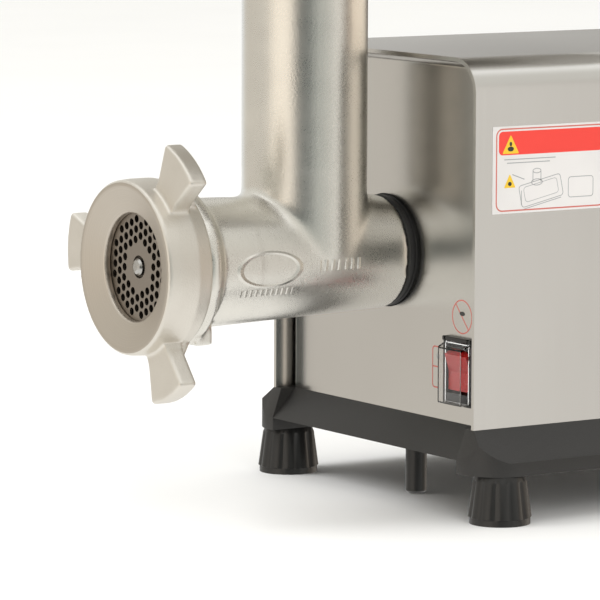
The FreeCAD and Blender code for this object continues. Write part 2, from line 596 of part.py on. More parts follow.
def base():
    """Moulded base: sloping upper part, upright band, and a skirt cut away between the corners."""
    body = new_body("base")
    half = "base_width / 2"
    band = rectangle(new_sketch(body, "XY_Plane", "base_underside"), f"0 - {half}", "base_front", half,
                     "base_back")
    pad(body, band, "base_top - base_underside")
    round_edges(body, "base_corner", lambda middle, edge: runs_along(edge, "z"))
    for side in (1, -1):
        sign = "" if side > 0 else "0 - "
        slope = outline(new_sketch(body, "XZ_Plane", "base_front - 1"), [
            (f"{sign}({half} + 1)", "base_ledge"), (f"{sign}({half} - 1)", "base_ledge"),
            (f"{sign}(casing_width / 2)", "base_top"), (f"{sign}(casing_width / 2)", "base_top + 1"),
            (f"{sign}({half} + 1)", "base_top + 1")])
        pocket(body, slope, "base_length + 2")
    ends = (("base_front", "casing_front", "front_panel_face", "0 - 1"),
            ("base_back", "casing_back", "rear_panel_face", "1"))
    for edge, wrap_edge, panel, outside in ends:
        slope = outline(new_sketch(body, "YZ_Plane", f"0 - {half} - 1"), [
            (f"{edge} + {outside}", "base_ledge"), (edge, "base_ledge"), (wrap_edge, "base_top"),
            (wrap_edge, "base_top + 1"), (f"{edge} + {outside}", "base_top + 1")])
        pocket(body, slope, "base_width + 2")
        dip = outline(new_sketch(body, "YZ_Plane", "0 - block_inner"), [
            (f"{edge} + {outside}", "base_ledge - 0.5"), (edge, "base_ledge - 0.5"), (panel, "base_top"),
            (panel, "base_top + 1"), (f"{edge} + {outside}", "base_top + 1")])
        pocket(body, dip, "2 * block_inner")
    hollow = rectangle(new_sketch(body, "XY_Plane", "base_underside - 1"), "0 - block_inner",
                       "base_front - 1", "block_inner", "base_back + 1")
    pocket(body, hollow, "base_ledge - base_underside + 0.5")
    inner = rectangle(new_sketch(body, "XY_Plane", "base_underside"), "0 - block_inner + base_wall",
                      "front_panel_face + skirt_wall", "block_inner - base_wall",
                      "rear_panel_face - skirt_wall")
    pocket(body, inner, "base_top - base_floor - base_underside")
    for side in (1, -1):
        sign = "" if side > 0 else "0 - "
        cell = rectangle(new_sketch(body, "XY_Plane", "base_underside - 1"),
                         f"{sign}(block_inner + base_wall)", "base_front + 2 * corner_block",
                         f"{sign}({half} - base_wall)", "base_back - 2 * corner_block")
        pocket(body, cell, "base_ledge - base_underside")
    slots = new_sketch(body, "XY_Plane", "base_top - base_floor - 1")
    for place_number in range(-3, 4):
        middle = f"{place_number} * 3 * vent_slot_width"
        start = "base_front + base_length * 0.62"
        rectangle(slots, f"{middle} - vent_slot_width / 2", start, f"{middle} + vent_slot_width / 2",
                  f"{start} + vent_slot_length")
    pocket(body, slots, "base_floor + 2")
    stop_hole = circle(new_sketch(body, "XY_Plane", "base_top - base_floor - 1"), "stop_radius / 2",
                       up="base_front + stop_inset")
    pocket(body, stop_hole, "base_floor + 2")


def feet_and_stop():
    """Four rubber feet with their screws, and the plain stop under the front."""
    screws = []
    for side, side_sign in (("right", "1"), ("left", "0 - 1")):
        for end, edge, end_sign in (("front", "base_front", "1"), ("rear", "base_back", "0 - 1")):
            x = f"({side_sign}) * (base_width / 2 - foot_inset_side)"
            y = f"{edge} + ({end_sign}) * foot_inset_end"
            turned(f"foot_{end}_{side}", [
                ("0", "foot_screw_recess"), ("0", "foot_bottom_radius - 0.8"),
                ("0.8", "foot_bottom_radius"),
                ("foot_lip", "foot_bottom_radius"), ("foot_lip + 0.5", "foot_bottom_radius - 0.6"),
                ("base_underside - 1.5", "foot_top_radius"), ("base_underside", "foot_top_radius - 1.5"),
                ("base_underside", "foot_screw_radius"), ("foot_screw_recess_depth", "foot_screw_radius"),
                ("foot_screw_recess_depth", "foot_screw_recess")], x=x, y=y, axis="z")
            screws.append(screw(f"foot_screw_{end}_{side}", x, y, "foot_screw_recess_depth", "z",
                                "foot_screw_recess - 1", "2.5", "foot_screw_radius",
                                "base_underside - foot_screw_recess_depth"))
    group("foot_screws", screws)
    top = "base_top - base_floor"
    turned("centre_stop", [
        ("stop_floor_gap", "0"), ("stop_floor_gap", "stop_radius - stop_chamfer"),
        ("stop_floor_gap + stop_chamfer", "stop_radius"), (top, "stop_radius"),
        (top, "stop_radius / 2 - running"), ("base_top", "stop_radius / 2 - running"), ("base_top", "0")],
        y="base_front + stop_inset", axis="z")


# --- Steel casing --------------------------------------------------------------------------------

def casing_wrap():
    """One sheet bent over the machine, with hemmed ends and flanges that stand on the base."""
    body = new_body("casing_wrap", y="casing_front")

    def casing_outline(offset, inset, low="base_top"):
        return arch(new_sketch(body, "XZ_Plane", offset), f"casing_width / 2 - {inset}", low,
                    f"casing_top - {inset}", f"casing_corner - {inset}")

    length = "base_length - 2 * casing_inset"
    pad(body, casing_outline("0", "0"), length)
    pocket(body, casing_outline("0 - 1", "hem", "base_top - 1"), f"{length} + 2")
    pocket(body, casing_outline("hem_length", "sheet", "base_top - 1"), f"{length} - 2 * hem_length")
    for side in ("", "0 - "):
        flange = rectangle(new_sketch(body, "XZ_Plane", "panel_recess + panel_flange + 1"),
                           f"{side}(casing_width / 2 - sheet / 2)", "base_top",
                           f"{side}(casing_width / 2 - bottom_flange)", "base_top + sheet")
        pad(body, flange, f"{length} - 2 * (panel_recess + panel_flange + 1)")
    rod = circle(new_sketch(body, "YZ_Plane", "0 - casing_width / 2 - 1"), "lock_radius + 2",
                 across="nut_rim + lock_station - (casing_front)", up="axis_height")
    pocket(body, rod, "hem + 2")


def end_panel(name, front):
    """A folded pan set back inside the wrap, with rounded edges and its flanges turned inwards."""
    body = new_body(name, y="front_panel_face" if front else "rear_panel_face")
    face = arch(new_sketch(body, "XZ_Plane"), "panel_half_width", "base_top", "panel_top",
                "casing_corner - hem - panel_side_gap")
    pad(body, face, "panel_flange", upward=front)
    bottom, back = size("base_top"), size("panel_flange")
    round_edges(body, "panel_bend", lambda middle, edge: abs(middle.y) < 0.01 and middle.z > bottom + 0.01)
    shell(body, "sheet", lambda face: abs(face.CenterOfMass.z - bottom) < 0.01
          or abs(abs(face.CenterOfMass.y) - back) < 0.01)
    return body


def panels():
    """Front panel with the hub and switch cut-outs, rear panel with vents and the gland hole."""
    front = end_panel("front_panel", True)
    hub = circle(new_sketch(front, "XZ_Plane", "0 - 1"), "panel_hole_radius", up="axis_height")
    pocket(front, hub, "sheet + 2")
    cutout = rectangle(new_sketch(front, "XZ_Plane", "0 - 1"), "switch_left + 1.5", "switch_low + 1.5",
                       "switch_left + switch_width - 1.5", "switch_low + switch_height - 1.5")
    pocket(front, cutout, "sheet + 2")
    rear = end_panel("rear_panel", False)
    vents = new_sketch(rear, "XZ_Plane", "0 - sheet - 1")
    for row in range(8):
        low = f"axis_height + {row - 4} * rear_vent_pitch"
        rectangle(vents, "0 - rear_vent_width / 2", low, "rear_vent_width / 2", f"{low} + rear_vent_height")
    pocket(rear, vents, "sheet + 2")
    gland = circle(new_sketch(rear, "XZ_Plane", "0 - sheet - 1"), "gland_thread + free",
                   across="0 - gland_offset", up="gland_height")
    pocket(rear, gland, "sheet + 2")
    screws = []
    for side in (-1, 1):
        for level in (-1, 1):
            x = f"{side} * (casing_width / 2 - 22)"
            z = f"(casing_top + base_top) / 2 + {level} * 88"
            screws.append(screw(f"rear_panel_screw_{len(screws)}", x, "rear_panel_face", z, "-y",
                                "4", "2", "2", "5"))
    group("rear_panel_screws", screws)


def side_label():
    """Thin printed plate on the right side of the casing."""
    item = document.addObject("Part::Box", "side_label")
    item.Label = "side_label"
    item.setExpression("Length", formula("side_label_thickness"))
    item.setExpression("Width", formula("side_label_length"))
    item.setExpression("Height", formula("side_label_height"))
    place(item, "casing_width / 2", "casing_front + side_label_start", "side_label_low")
    nodes.append(item)


# --- Switch --------------------------------------------------------------------------------------

def switch_bezel():
    """Moulded frame and box of the switch, with a rib along its top that the cover hangs on."""
    body = new_body("switch_bezel", x="switch_left", y="front_panel_face", z="switch_low")
    frame = rectangle(new_sketch(body, "XZ_Plane", "0 - bezel_thickness"), "0", "0", "switch_width",
                      "switch_height")
    pad(body, frame, "bezel_thickness")
    round_edges(body, "1.5", lambda middle, edge: runs_along(edge, "y"))
    box = rectangle(new_sketch(body, "XZ_Plane", "0 - 0.5"), "2", "2", "switch_width - 2",
                    "switch_height - 2")
    pad(body, box, "bezel_depth")
    rib = rectangle(new_sketch(body, "XZ_Plane", "0 - bar_reach"), "0.5", "switch_height - switch_bar",
                    "switch_width - 0.5", "switch_height")
    pad(body, rib, "bar_reach")
    round_edges(body, "0.6", lambda middle,
                edge: runs_along(edge, "x") and middle.y < 0.5 - size("bar_reach"))
    well = rectangle(new_sketch(body, "XZ_Plane", "0 - bezel_thickness - 1"), "bezel_side",
                     "rocker_middle - rocker_height / 2 - free", "switch_width - bezel_side",
                     "rocker_middle + rocker_height / 2 + free")
    pocket(body, well, "bezel_thickness + 15")
    pins = circle(new_sketch(body, "YZ_Plane", "bezel_side - 2"), "pin_radius + running", across="3",
                  up="rocker_middle")
    pocket(body, pins, "switch_width - 2 * bezel_side + 4")
    pivot = circle(new_sketch(body, "YZ_Plane", "cover_inset"), "cover_pin + running",
                   across="0 - cover_pivot",
                   up="switch_height - switch_bar / 2")
    pocket(body, pivot, "switch_width - 2 * cover_inset")
    for start in ("cover_inset - free", "switch_width - cover_inset - cover_wall - free"):
        slot = rectangle(new_sketch(body, "XZ_Plane", "0 - bar_reach - 1"), start,
                         "switch_height - switch_bar / 2 - ear_slot",
                         f"{start} + cover_wall + 2 * free", "switch_height + 1")
        pocket(body, slot, "bar_reach + 1 - free")


def switch_rocker():
    """Rocker with pins at both ends, resting on its lower half."""
    body = new_body("switch_rocker")
    body.Placement = FreeCAD.Placement(Vector(), FreeCAD.Rotation(Vector(1, 0, 0), 5))
    body.setExpression("Placement.Rotation.Angle", formula("rocker_tilt"))
    place(body, "switch_left + switch_width / 2", "front_panel_face + 3", "switch_low + rocker_middle")
    half_width = "(switch_width / 2 - bezel_side - free)"
    reach = "0 - 3 - rocker_reach"
    profile = outline(new_sketch(body, "YZ_Plane", f"0 - {half_width}"), [
        (reach, "0 - rocker_height / 2 + 2"), (f"{reach} + rocker_dip", "0"),
        (reach, "rocker_height / 2 - 2"),
        ("0", "rocker_height / 2"), ("5", "rocker_height / 2 - 2"), ("5", "0 - rocker_height / 2 + 2"),
        ("0", "0 - rocker_height / 2")])
    pad(body, profile, f"2 * {half_width}")
    pin = circle(new_sketch(body, "YZ_Plane", f"0 - {half_width} - 1.8"), "pin_radius")
    pad(body, pin, f"2 * {half_width} + 3.6")


def switch_cover():
    """Clear splash cover: an open backed box with a sloping top, whose two ears turn in the rib's slots."""
    body = new_body("switch_cover", x="switch_left", y="front_panel_face", z="switch_low")
    back = "0 - bezel_thickness - free"
    top = "switch_height - switch_bar - free"
    width = "(switch_width - 2 * cover_inset)"
    pivot_height = "switch_height - switch_bar / 2"
    outer = outline(new_sketch(body, "YZ_Plane", "cover_inset"), [
        (back, "1"), ("0 - cover_reach", "1"), ("0 - cover_reach", f"{top} - cover_slope"), (back, top)])
    pad(body, outer, width)
    front_face = size("0 - cover_reach")
    round_edges(body, "0.8", lambda middle, edge: middle.y < front_face + 0.1
                or (runs_along(edge, "y") and middle.z < 5))
    inner = outline(new_sketch(body, "YZ_Plane", "cover_inset + cover_wall"), [
        (f"{back} + 1", "1 + cover_wall"), ("0 - cover_reach + cover_wall", "1 + cover_wall"),
        ("0 - cover_reach + cover_wall", f"{top} - cover_slope - cover_wall"),
        (f"{back} + 1", f"{top} - cover_wall")])
    pocket(body, inner, f"{width} - 2 * cover_wall")
    right_ear = "switch_width - cover_inset - cover_wall"
    for ear_start, pin_start in (("cover_inset", "cover_inset"),
                                 (right_ear, f"{right_ear} - free - pin_length")):
        stem = rectangle(new_sketch(body, "YZ_Plane", ear_start), "0 - cover_pivot - ear_radius",
                         f"{top} - 2",
                         "0 - cover_pivot - free", pivot_height)
        pad(body, stem, "cover_wall")
        tip = circle(new_sketch(body, "YZ_Plane", ear_start), "ear_radius", across="0 - cover_pivot",
                     up=pivot_height)
        pad(body, tip, "cover_wall")
        pin = circle(new_sketch(body, "YZ_Plane", pin_start), "cover_pin", across="0 - cover_pivot",
                     up=pivot_height)
        pad(body, pin, "cover_wall + free + pin_length")


# --- Hub seal and head lock ----------------------------------------------------------------------

def hub_seal():
    """Grooved rubber ring between the head's shoulder and the gearbox hub."""
    outer = "panel_hole_radius - 0.6"
    turned("hub_seal", [
        ("barrel_shoulder + free", "neck_radius + free"), ("barrel_shoulder + free", f"{outer} - 1.4"),
        ("barrel_shoulder + 1.2", outer), ("barrel_shoulder + 3.2", outer),
        ("barrel_shoulder + 3.8", f"{outer} - 1.2"),
        ("barrel_shoulder + 5", f"{outer} - 1.2"), ("barrel_shoulder + 5.6", outer), ("hub_front", outer),
        ("hub_front", "neck_radius + free")], y="nut_rim", z="axis_height")


def head_lock():
    """Side screw that clamps the head's neck in the hub, with its moulded knob."""
    inner_end = "0 - neck_radius - free"
    knob_start = "0 - casing_width / 2 - lock_knob_gap"
    turned("head_lock_screw", [
        (inner_end, "0"), (inner_end, "lock_radius - 1"), (f"{inner_end} - 1", "lock_radius"),
        (f"{knob_start} - 10", "lock_radius"), (f"{knob_start} - 10", "0")],
        y="nut_rim + lock_station", z="axis_height", axis="x")
    body = turned("head_lock_knob", [
        (knob_start, "lock_radius + running"), (knob_start, "lock_knob_radius - 5"),
        (f"{knob_start} - 4", "lock_knob_radius - 1"), (f"{knob_start} - 6", "lock_knob_radius"),
        (f"{knob_start} - lock_knob_length + 3", "lock_knob_radius"),
        (f"{knob_start} - lock_knob_length", "lock_knob_radius - 3"),
        (f"{knob_start} - lock_knob_length", "0"),
        (f"{knob_start} - 10", "0"), (f"{knob_start} - 10", "lock_radius + running")],
        y="nut_rim + lock_station", z="axis_height", axis="x")
    dent = circle(new_sketch(body, "YZ_Plane", f"{knob_start} - lock_knob_length - 1"), "4",
                  up="lock_knob_radius + 2")
    cut = pocket(body, dent, "lock_knob_length + 2")
    polar(body, [cut], 6, "X_Axis")


# --- Gearbox -------------------------------------------------------------------------------------

def gearbox_cover():
    """Front casting: the hub that takes the head's neck, the bearing seats, a flange and a leg."""
    body = new_body("gearbox_cover", y="nut_rim", z="axis_height")
    flange = "cavity_radius + gearbox_wall"
    hub = [("hub_front", "0"), ("hub_front", "hub_radius"), ("cavity_front", "hub_radius"),
           ("cavity_front", "0")]
    revolve(body, outline(new_sketch(body, "YZ_Plane"), hub))
    for height in ("0", "drive_centres"):
        plate = circle(new_sketch(body, "XZ_Plane", "cover_flange"), flange, up=height)
        pad(body, plate, "bearing_width")
    web = rectangle(new_sketch(body, "XZ_Plane", "cover_flange"), f"0 - ({flange})", "0", flange,
                    "drive_centres")
    pad(body, web, "bearing_width")
    leg = rectangle(new_sketch(body, "XZ_Plane", "cover_flange"), "0 - gearbox_leg_width / 2",
                    "base_top - axis_height", "gearbox_leg_width / 2", "0 - hub_radius + 6")
    pad(body, leg, "bearing_width")
    boss = circle(new_sketch(body, "YZ_Plane", "0 - lock_boss_end"), "lock_boss_radius",
                  across="lock_station")
    pad(body, boss, "lock_boss_end - neck_radius - 4")
    inner = [
        ("hub_front - 1", "0"), ("hub_front - 1", "neck_radius + running"),
        ("hub_front + hub_depth", "neck_radius + running"), ("hub_front + hub_depth", "web_opening"),
        ("hub_front + hub_depth + hub_web", "web_opening"),
        ("hub_front + hub_depth + hub_web", "bearing_radius"),
        ("cavity_front + 1", "bearing_radius"), ("cavity_front + 1", "0")]
    groove(body, outline(new_sketch(body, "YZ_Plane"), inner))
    bearing = circle(new_sketch(body, "XZ_Plane", "cavity_front - small_bearing_width"),
                     "small_bearing_radius",
                     up="drive_centres")
    pocket(body, bearing, "small_bearing_width + 1")
    thread = circle(new_sketch(body, "YZ_Plane", "0 - lock_boss_end - 1"), "lock_radius + running",
                    across="lock_station")
    pocket(body, thread, "lock_boss_end - neck_radius + 4")


def gearbox_housing():
    """Rear casting: a cup round the gears whose back wall carries the motor."""
    body = new_body("gearbox_housing", y="nut_rim", z="axis_height")
    outer = "cavity_radius + gearbox_wall"

    def slot(offset, radius, length, make):
        for height in ("0", "drive_centres"):
            make(body, circle(new_sketch(body, "XZ_Plane", offset), radius, up=height), length)
        middle = rectangle(new_sketch(body, "XZ_Plane", offset), f"0 - ({radius})", "0", radius,
                           "drive_centres")
        make(body, middle, length)

    slot("cavity_front", outer, "cavity_length + rear_wall - 8", pad)
    flange = circle(new_sketch(body, "XZ_Plane", "housing_back - 8"), "motor_radius + 2")
    pad(body, flange, "8")
    slot("cavity_front - 1", "cavity_radius", "cavity_length + 1", pocket)
    motor_bearing = circle(new_sketch(body, "XZ_Plane", "housing_back - rotor_bearing_width"),
                           "rotor_bearing_radius")
    pocket(body, motor_bearing, "rotor_bearing_width + 1")
    opening = circle(new_sketch(body, "XZ_Plane", "cavity_front"), "rotor_shaft_radius + 3")
    pocket(body, opening, "housing_back - (cavity_front)")
    bearing = circle(new_sketch(body, "XZ_Plane", "cavity_front + cavity_length - 1"),
                     "small_bearing_radius",
                     up="drive_centres")
    pocket(body, bearing, "small_bearing_width + 1")


def gearbox_bolts():
    """Screws round the flange that join the two castings."""
    bolts = []
    radius = "(cavity_radius + gearbox_wall / 2)"
    seats = [(0, 205), (0, 335), (1, 25), (1, 90), (1, 155)]
    for number, (upper, angle) in enumerate(seats):
        x = f"{radius} * cos({angle} deg)"
        z = f"axis_height + {upper} * drive_centres + {radius} * sin({angle} deg)"
        bolts.append(screw(f"gearbox_bolt_{number}", x, "nut_rim + cover_flange", z, "y", "2.8", "3",
                           "1.5", "bearing_width"))
    group("gearbox_bolts", bolts)


def output_shaft():
    """Shaft with the square socket for the screw's tang."""
    body = turned("output_shaft", [
        ("neck_end + 1", "0"), ("neck_end + 1", "socket_radius"),
        ("hub_front + hub_depth - 0.5", "socket_radius"),
        ("hub_front + hub_depth - 0.5", "shaft_radius"),
        ("cavity_front + 2 + output_gear_width + 3", "shaft_radius"),
        ("cavity_front + 2 + output_gear_width + 3", "0")],
        y="nut_rim", z="axis_height")
    half = "(tang_width / 2 + socket_play)"
    socket = rectangle(new_sketch(body, "XZ_Plane", "neck_end"), f"0 - {half}", f"0 - {half}", half, half)
    pocket(body, socket, "1 + socket_depth")
    clip = [("cavity_front + 2 + output_gear_width", "shaft_radius - 1"),
            ("cavity_front + 2 + output_gear_width", "shaft_radius + 1"),
            ("cavity_front + 2 + output_gear_width + circlip_width", "shaft_radius + 1"),
            ("cavity_front + 2 + output_gear_width + circlip_width", "shaft_radius - 1")]
    groove(body, outline(new_sketch(body, "YZ_Plane"), clip))


def gear_face(teeth, module, first_tooth, station):
    """The flat outline of a spur gear at a station: involute flanks on a root circle, one arc a flank."""
    pressure = math.radians(size("pressure_angle"))
    pitch = module * teeth / 2
    base_circle = pitch * math.cos(pressure)
    root, tip = pitch - 1.25 * module, pitch + module
    half_tooth = math.pi / (2 * teeth) - size("backlash") / (2 * pitch) + math.tan(pressure) - pressure

    def flank(radius):
        if radius <= base_circle:
            return half_tooth
        roll = math.acos(base_circle / radius)
        return half_tooth - (math.tan(roll) - roll)

    def point(radius, angle):
        return Vector(radius * math.cos(angle), station, radius * math.sin(angle))

    start = max(base_circle, root)
    edges = []
    for tooth in range(teeth):
        middle = math.radians(first_tooth) + 2 * math.pi * tooth / teeth
        following = middle + 2 * math.pi / teeth
        left = [point(radius, middle - flank(radius)) for radius in (start, (start + tip) / 2, tip)]
        right = [point(radius, middle + flank(radius)) for radius in (tip, (start + tip) / 2, start)]
        foot, heel = point(root, middle - flank(start)), point(root, middle + flank(start))
        next_foot = point(root, following - flank(start))
        if start > root:
            edges.append(Part.LineSegment(foot, left[0]).toShape())
        edges.append(Part.Arc(*left).toShape())
        edges.append(Part.Arc(left[2], point(tip, middle), right[0]).toShape())
        edges.append(Part.Arc(*right).toShape())
        if start > root:
            edges.append(Part.LineSegment(right[2], heel).toShape())
        edges.append(Part.Arc(heel, point(root, middle + math.pi / teeth), next_foot).toShape())
    return Part.Face(Part.Wire(edges))


def gear(teeth, module, first_tooth, station, width, bore):
    """A spur gear blank with its teeth cut, bored for its shaft, at a station on its own axis."""
    solid = gear_face(teeth, module, first_tooth, station).extrude(Vector(0, width, 0))
    if bore:
        solid = solid.cut(Part.makeCylinder(bore, width + 2, Vector(0, station - 1, 0), Vector(0, 1, 0)))
    return solid


def shaped(name, solid, z="axis_height"):
    """A node whose solid is made here, placed with its stations counted from the nut's rim."""
    item = document.addObject("Part::Feature", name)
    item.Label = name
    item.Shape = solid
    place(item, y="nut_rim", z=z)
    nodes.append(item)


def gears_and_shafts():
    """Two stage spur train: the output gear, the layshaft pair and the motor pinion, in mesh."""
    slow, fast = size("slow_module"), size("fast_module")
    slow_teeth, fast_teeth, pinion_teeth = (int(size(text)) for text in ("slow_teeth", "fast_teeth",
                                                                         "pinion_teeth"))
    front = size("cavity_front")
    slow_width, fast_width = size("output_gear_width"), size("fast_gear_width")
    half_step = 180 / pinion_teeth
    shaped("output_gear", gear(slow_teeth, slow, 90, front + 2, slow_width, size("shaft_radius + 0.01")))

    lay_radius = size("layshaft_radius")
    bearing_width = size("small_bearing_width")
    fast_station = front + 2 + slow_width + 4
    back = size("cavity_front + cavity_length")
    layshaft = Part.makeCylinder(lay_radius, back + bearing_width - 1 - (front - bearing_width),
                                 Vector(0, front - bearing_width, 0), Vector(0, 1, 0))
    pinion = gear(pinion_teeth, slow, 270 + half_step, front + 1, slow_width + 2, 0)
    shaped("layshaft", layshaft.fuse(pinion).removeSplitter(), z="layshaft_height")
    shaped("layshaft_gear", gear(fast_teeth, fast, 270, fast_station, fast_width, lay_radius + 0.01),
           z="layshaft_height")

    shaft_end = size("shell_back + end_shield + 22")
    housing_back = size("housing_back - rotor_bearing_width")
    radius = size("rotor_shaft_radius")
    thin = Part.makeCylinder(fast * pinion_teeth / 2 - 1.25 * fast, housing_back - fast_station + 1,
                             Vector(0, fast_station - 0.5, 0), Vector(0, 1, 0))
    thick = Part.makeCylinder(radius, shaft_end - housing_back, Vector(0, housing_back, 0), Vector(0, 1, 0))
    motor_pinion = gear(pinion_teeth, fast, 90 + half_step, fast_station - 0.5, fast_width + 1, 0)
    shaped("rotor_shaft", thick.fuse([thin, motor_pinion]).removeSplitter())
    ring("output_circlip", "cavity_front + 2 + output_gear_width", "circlip_width", "circlip_radius",
         "shaft_radius - 1 + 0.01")


def bearing(name, start, width, outer, inner, z="axis_height"):
    """A ball bearing as one ring, its station counted from the nut's rim."""
    sleeve = document.addObject("Part::Cut", name)
    sleeve.Label = name
    sleeve.Base = cylinder(f"{name}_outer", outer, width, "0", f"nut_rim + {start}", z, "y")
    sleeve.Tool = cylinder(f"{name}_bore", inner, f"{width} + 2", "0", f"nut_rim + {start} - 1", z, "y")
    return sleeve


def bearings():
    """Bearings in pairs, each pair one node, and the lip seal in front of the output pair."""
    shaft = "shaft_radius + running"
    start = "hub_front + hub_depth + hub_web"
    group("output_bearings", [bearing("output_bearing_front", start, "bearing_width - 0.1",
                                      "bearing_radius", shaft),
                              bearing("output_bearing_rear", f"{start} + bearing_width", "bearing_width",
                                      "bearing_radius", shaft)])
    lay = "layshaft_radius + running"
    lay_back = "cavity_front + cavity_length"
    group("layshaft_bearings", [
        bearing("layshaft_bearing_front", "cavity_front - small_bearing_width", "small_bearing_width",
                "small_bearing_radius", lay, "layshaft_height"),
        bearing("layshaft_bearing_rear", lay_back, "small_bearing_width", "small_bearing_radius", lay,
                "layshaft_height")])
    rotor = "rotor_shaft_radius + running"
    group("rotor_bearings", [
        bearing("rotor_bearing_front", "housing_back - rotor_bearing_width", "rotor_bearing_width",
                "rotor_bearing_radius", rotor),
        bearing("rotor_bearing_rear", "shell_back - 2", "rotor_bearing_width", "rotor_bearing_radius",
                rotor)])
    ring("shaft_seal", "hub_front + hub_depth", "hub_web", "web_opening", "shaft_radius + running")


# --- Motor ---------------------------------------------------------------------------------------

def motor():
    """Shell, laminated stator with its end windings, rotor core and rear shield."""
    shell = "motor_radius - motor_wall"
    ring("motor_shell", "housing_back", "motor_shell_length", "motor_radius", shell)
    ring("stator_core", "stator_front", "stator_length", shell, "stator_bore")
    windings = []
    for name, start in (("front", "housing_back + 1.5"), ("rear", "stator_front + stator_length")):
        length = "(motor_shell_length - stator_length) / 2 - 1.5"
        windings.append(bearing(f"winding_{name}", start, length, "winding_outer", "winding_inner"))
    group("stator_windings", windings)
    ring("rotor_core", "stator_front", "stator_length", "stator_bore - rotor_gap",
         "rotor_shaft_radius + 0.01")
    turned("motor_end_shield", [
        ("shell_back", "rotor_bearing_radius"), ("shell_back", "motor_radius"),
        ("shell_back + end_shield", "motor_radius"),
        ("shell_back + end_shield", "rotor_bearing_radius + 6"),
        ("shell_back + end_shield + 3", "rotor_bearing_radius + 5"),
        ("shell_back + end_shield + 3", "rotor_shaft_radius + 1"),
        ("shell_back + rotor_bearing_width - 2", "rotor_shaft_radius + 1"),
        ("shell_back + rotor_bearing_width - 2", "rotor_bearing_radius")], y="nut_rim", z="axis_height")


def cooling_fan():
    """Moulded fan on the tail of the rotor shaft."""
    start = "shell_back + end_shield + 7"
    body = turned("cooling_fan", [
        (start, "rotor_shaft_radius + 0.01"), (start, "fan_hub_radius"), (f"{start} + 2", "fan_hub_radius"),
        (f"{start} + 2", "fan_radius"), (f"{start} + 3.5", "fan_radius"),
        (f"{start} + 3.5", "fan_hub_radius"),
        (f"{start} + fan_width", "fan_hub_radius - 2"),
        (f"{start} + fan_width", "rotor_shaft_radius + 0.01")],
        y="nut_rim", z="axis_height")
    blade = rectangle(new_sketch(body, "XZ_Plane", f"{start} + 3"), "0 - fan_blade_width / 2",
                      "fan_hub_radius - 3",
                      "fan_blade_width / 2", "fan_radius - 1")
    blade_pad = pad(body, blade, "fan_width - 4")
    polar(body, [blade_pad], int(size("fan_blades")), "Y_Axis")


def motor_cradle():
    """Folded steel cradle that stands on the base and holds the motor shell."""
    body = new_body("motor_cradle", y="nut_rim", z="axis_height")
    floor = "base_top - axis_height"
    stations = ("housing_back + 14", "shell_back - 14 - cradle_gauge")
    sole = rectangle(new_sketch(body, "XZ_Plane", stations[0]), "0 - cradle_width / 2", floor,
                     "cradle_width / 2", f"{floor} + cradle_gauge")
    pad(body, sole, f"{stations[1]} + cradle_gauge - ({stations[0]})")
    for station in stations:
        cheek = rectangle(new_sketch(body, "XZ_Plane", station), "0 - cradle_width / 2", floor,
                          "cradle_width / 2",
                          "0 - motor_radius * 0.55")
        pad(body, cheek, "cradle_gauge")
    seat = circle(new_sketch(body, "XZ_Plane", "housing_back"), "motor_radius + 0.02")
    pocket(body, seat, "motor_shell_length")


def capacitor_and_terminals():
    """Run capacitor in its clamp, and the terminal block, both standing on the base."""
    start = "nut_rim + stator_front"
    height = "base_top + clamp_gauge + capacitor_radius"
    turned("run_capacitor", [
        ("0", "0"), ("0", "capacitor_radius - 2"), ("2", "capacitor_radius"),
        ("capacitor_length", "capacitor_radius"),
        ("capacitor_length", "7"), ("capacitor_length + 6", "7"), ("capacitor_length + 6", "0")],
        x="capacitor_place", y=start, z=height)
    clamp = new_body("capacitor_clamp", x="capacitor_place", y=f"{start} + capacitor_length / 2", z=height)
    strap = circle(new_sketch(clamp, "XZ_Plane"), "capacitor_radius + clamp_gauge")
    pad(clamp, strap, "clamp_width")
    foot = rectangle(new_sketch(clamp, "XZ_Plane"), "0 - capacitor_radius - 3",
                     "0 - capacitor_radius - clamp_gauge",
                     "capacitor_radius + 3", "0 - capacitor_radius")
    pad(clamp, foot, "clamp_width")
    pocket(clamp, circle(new_sketch(clamp, "XZ_Plane", "0 - 1"), "capacitor_radius + 0.02"),
           "clamp_width + 2")
    block = new_body("terminal_block", x="0 - capacitor_place", y="nut_rim + shell_back - 40", z="base_top")
    pad(block, rectangle(new_sketch(block, "XY_Plane"), "0 - 12", "0 - 25", "12", "25"), "12")
    pad(block, rectangle(new_sketch(block, "XY_Plane", "12"), "0 - 5", "0 - 24", "5", "24"), "6")
    ports = new_sketch(block, "YZ_Plane", "0 - 13")
    for number in range(5):
        circle(ports, "2.2", across=f"{number - 2} * 9", up="6")
    pocket(block, ports, "26")


